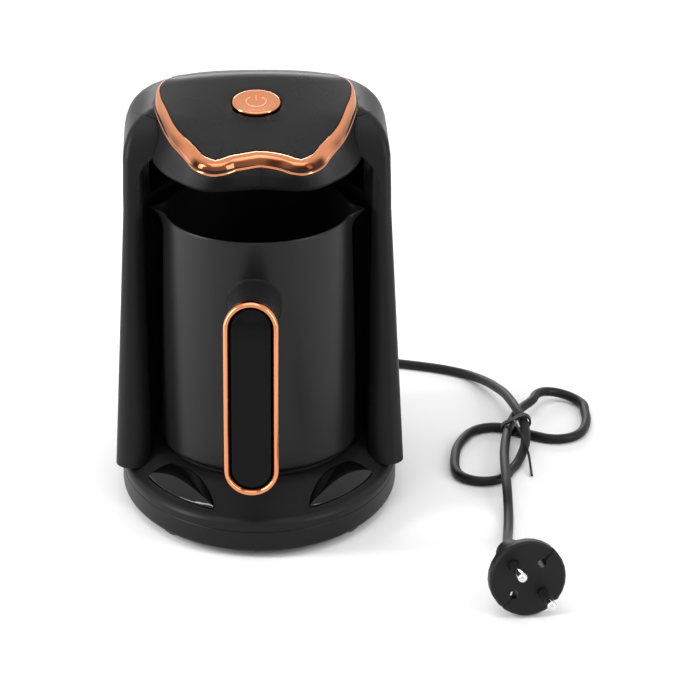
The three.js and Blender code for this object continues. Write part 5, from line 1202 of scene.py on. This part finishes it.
# %% Lenses
LENS_TURNS = [math.radians(18.9), math.radians(58.6)]
LENS_SHARES = [0.972, 0.975]
LENS_BOW, LENS_REAR = 3.6, [(0.25, 0.22), (1, 0.385)]
LENS_GROOVE, LENS_LIFT, LENS_EDGE, LENS_FOOT = 0.55, 1.5, 0.35, 1.8
LENS_ROUND, LENS_BROW = 0.06, LENS_EDGE + 0.16
LENS_SKIRT = [(1, -LENS_FOOT), (0.5, -LENS_FOOT), (0, -LENS_FOOT), (0, LENS_EDGE - 0.25), (0.02, LENS_EDGE),
              (LENS_ROUND, LENS_BROW)]


def lens_outline(side):
    inner, outer = (
        Vector((math.sin(t), -math.cos(t))) * crease_distance(t) * s for t, s in zip(LENS_TURNS, LENS_SHARES)
    )
    chord = outer - inner
    ahead = Vector((chord.y, -chord.x)).normalized()
    bow = inner + chord / 2 + ahead * 2 * LENS_BOW
    near, far = (inner + chord * s - ahead * b * chord.length for s, b in LENS_REAR)
    front = [inner * (1 - t) ** 2 + bow * 2 * t * (1 - t) + outer * t * t for t in spread(0, 1, 24)[:-1]]
    rear = [
        outer * (1 - t) ** 3 + far * 3 * t * (1 - t) ** 2 + near * 3 * t * t * (1 - t) + inner * t**3
        for t in spread(0, 1, 24)[:-1]
    ]
    ring = [(side * p.x, p.y) for p in (*front, *rear)]
    return ring if side > 0 else [ring[0], *reversed(ring[1:])]


def lens_spine(outline):
    """For each point of the edge, the middle between it and the point across from it."""
    across = [outline[-i % len(outline)] for i in range(len(outline))]
    return [((x + u) / 2, (y + v) / 2) for (x, y), (u, v) in zip(outline, across)]


def lens_rings(outline):
    """The lens from the middle of its underside out to its edge, and over the dome to its spine."""
    spine = lens_spine(outline)
    deck_at_edge = [deck_height(x, y) for x, y in outline]
    rings = []
    for share, lift in LENS_SKIRT:
        rings.append([(x, y, z + lift) for (x, y), z in zip(between(outline, spine, share), deck_at_edge)])
    for share in spread(LENS_ROUND, 1, 8)[1:]:
        lift = mix(LENS_BROW, LENS_LIFT, math.sin(share * math.pi / 2))
        rings.append([(x, y, deck_height(x, y) + lift) for x, y in between(outline, spine, share)])
    return rings


cuts = []
for side, name in ((-1, "leaf_lens_left"), (1, "leaf_lens_right")):
    outline = lens_outline(side)
    piece_from(skin(lens_rings(outline)), 45, name + "_glass", GLOSS, "machine", [name], weighted=False)
    cuts.append(upright(inward(outline, -LENS_GROOVE), COVER_BOTTOM - 1, DECK_Z + 5))
cover_mesh = carved(cover_mesh, *[("DIFFERENCE", other) for other in cuts])
piece_from(cover_mesh, 34, "base_deck", SATIN, "machine", ["base_cover"])

# %% [markdown]
# ### Pan
# The pan under the cover has a rounded lower edge and a row of slots in its floor that let air in, as such
# bases have.

# %% Pan
TRAY_FOOT, TRAY_TOP = (corner[2] for corner in extent("base_tray"))
TRAY_CORNER, TRAY_FLOOR, VENT_MARGIN = 2.2, 2.0, 2
tray_rings = [base_ring(TRAY_CORNER * (1 - math.sin(t)), TRAY_FOOT + TRAY_CORNER * (1 - math.cos(t)))
              for t in spread(0, math.pi / 2, 6)]
tray_rings += [base_ring(0, TRAY_TOP - 0.35), base_ring(0.3, TRAY_TOP), base_ring(WALL, TRAY_TOP),
               base_ring(WALL, TRAY_FOOT + TRAY_FLOOR)]
tray_mesh = skin(tray_rings)
VENTS, VENT_PITCH, VENT_WIDTH, VENT_LENGTH = 5, 6.0, 2.4, 30.0
slots = None
for i in range(VENTS):
    y = (i - (VENTS - 1) / 2) * VENT_PITCH
    slot = box_of((-VENT_LENGTH / 2, y - VENT_WIDTH / 2, TRAY_FOOT - VENT_MARGIN),
                  (VENT_LENGTH / 2, y + VENT_WIDTH / 2, TRAY_FOOT + TRAY_FLOOR + VENT_MARGIN))
    slots = both(slots, slot) if slots else slot
tray_mesh = carved(tray_mesh, ("DIFFERENCE", slots))
piece_from(tray_mesh, 34, "base_pan", SATIN, "machine", ["base_tray"])

# %% [markdown]
# ## Pieces from the solids
# The rest are small or plain pieces. Each is a copy of its solid with its doubled points merged, so that it
# can be shaded smoothly and given its finish.

# %% Copies of the solids with their finishes
CORD = "power_cord"
COPIED = [node for node in BODY_OF if node not in MODELLED and node != CORD]
for node in COPIED:
    finish = FINISHES[SLOT_OF[node]]
    piece_from(merged_copy(node), 32, node + "_fine", finish, BODY_OF[node], [node], weighted=False)
print("copied:", len(COPIED))

# %% [markdown]
# ### Cord sheath
# The sheath is a curve with a round bevel along the fine points of the route. It ends inside the gland and
# the plug, and it carries the tie and the plug with its pins.

# %% Cord sheath
cord_curve = bpy.data.curves.new("cord_sheath", "CURVE")
cord_curve.dimensions = "3D"
cord_curve.bevel_depth = CORD_DIAMETER / 2
cord_curve.bevel_resolution = 6
cord_curve.use_fill_caps = True
spline = cord_curve.splines.new("POLY")
spline.points.add(len(cord_line) - 1)
for point, place in zip(spline.points, cord_line):
    point.co = (*place, 1)
spline.use_smooth = True
cord_curve.materials.append(SHEATH)
cord_sheath = add_object("cord_sheath", cord_curve)
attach(cord_sheath, BODY_OF[CORD])
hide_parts("power_cord")
print("cord:", len(spline.points), "points")

# %% [markdown]
# ## Floor
# The photograph shows the machine on plain white. A pale matt floor keeps a faint shadow under it, which a
# machine that floats on pure white would lack.

# %% Floor
FLOOR_HALF = 4.0
floor_mesh = bmesh.new()
bmesh.ops.create_grid(floor_mesh, x_segments=1, y_segments=1, size=FLOOR_HALF)
floor_data = bpy.data.meshes.new("floor")
floor_mesh.to_mesh(floor_data)
floor_mesh.free()
floor_material = bpy.data.materials.new("floor")
floor_material.use_nodes = True
surface = floor_material.node_tree.nodes["Principled BSDF"]
surface.inputs["Base Color"].default_value = (0.93, 0.93, 0.93, 1)
surface.inputs["Roughness"].default_value = 0.9
surface.inputs["Specular IOR Level"].default_value = 0.1
floor_data.materials.append(floor_material)
floor = add_object("floor", floor_data)
print("floor:", 2 * FLOOR_HALF, "m")

# %% [markdown]
# ## Lamps
# Two tall soft lamps beside the camera give the pot its two upright highlights, and the left one is stronger,
# as in the photograph. A low wide one behind the machine draws a light line along the rear of the panel, and
# a large one above fills the rest.

# %% Lamps
AIM = Vector((0, 0, 0.1))


def soft_lamp(name, place, width, height, watts, aim=AIM):
    data = bpy.data.lights.new(name, "AREA")
    data.shape = "RECTANGLE"
    data.size = width
    data.size_y = height
    data.energy = watts
    facing = (Vector(aim) - Vector(place)).to_track_quat("-Z", "Y")
    add_object(name, data).matrix_world = Matrix.Translation(place) @ facing.to_matrix().to_4x4()


soft_lamp("left lamp", (-1.15, -0.22, 0.6), 0.28, 1.1, 15)
soft_lamp("right lamp", (1.05, -0.6, 0.6), 0.28, 1.1, 8)
soft_lamp("rear lamp", (0.0, 1.45, 0.62), 0.9, 0.3, 6, aim=(0, 0, 0.15))
soft_lamp("top lamp", (0.0, -0.1, 1.6), 1.2, 1.0, 7)
print("lamps:", len(bpy.data.lights))

# %% [markdown]
# ## Surroundings
# The room is plain white. It lights the machine at a moderate level, and what the camera and the gloss see
# of it is white at strength 1.

# %% Surroundings
ROOM_LIGHT, ROOM_SEEN = 0.65, 1.0
world = bpy.data.worlds.new("studio")
bpy.context.scene.world = world
world.use_nodes = True
tree = world.node_tree
background = tree.nodes["Background"]
background.inputs["Color"].default_value = (1, 1, 1, 1)
background.inputs["Strength"].default_value = ROOM_LIGHT
seen = add_node(tree, "ShaderNodeBackground", Color=(1, 1, 1, 1), Strength=ROOM_SEEN)
ray = add_node(tree, "ShaderNodeLightPath")
blend = add_node(tree, "ShaderNodeMixShader")
camera_or_glossy = add_node(tree, "ShaderNodeMath", operation="MAXIMUM")
or_transmission = add_node(tree, "ShaderNodeMath", operation="MAXIMUM")
wire(
    tree,
    (ray.outputs["Is Camera Ray"], camera_or_glossy.inputs[0]),
    (ray.outputs["Is Glossy Ray"], camera_or_glossy.inputs[1]),
    (camera_or_glossy.outputs[0], or_transmission.inputs[0]),
    (ray.outputs["Is Transmission Ray"], or_transmission.inputs[1]),
    (or_transmission.outputs[0], blend.inputs["Fac"]),
    (background.outputs["Background"], blend.inputs[1]), (seen.outputs["Background"], blend.inputs[2]),
    (blend.outputs["Shader"], tree.nodes["World Output"].inputs["Surface"]),
)
bpy.context.scene.view_settings.view_transform = "Standard"
print("room light:", ROOM_LIGHT, "seen at:", ROOM_SEEN)
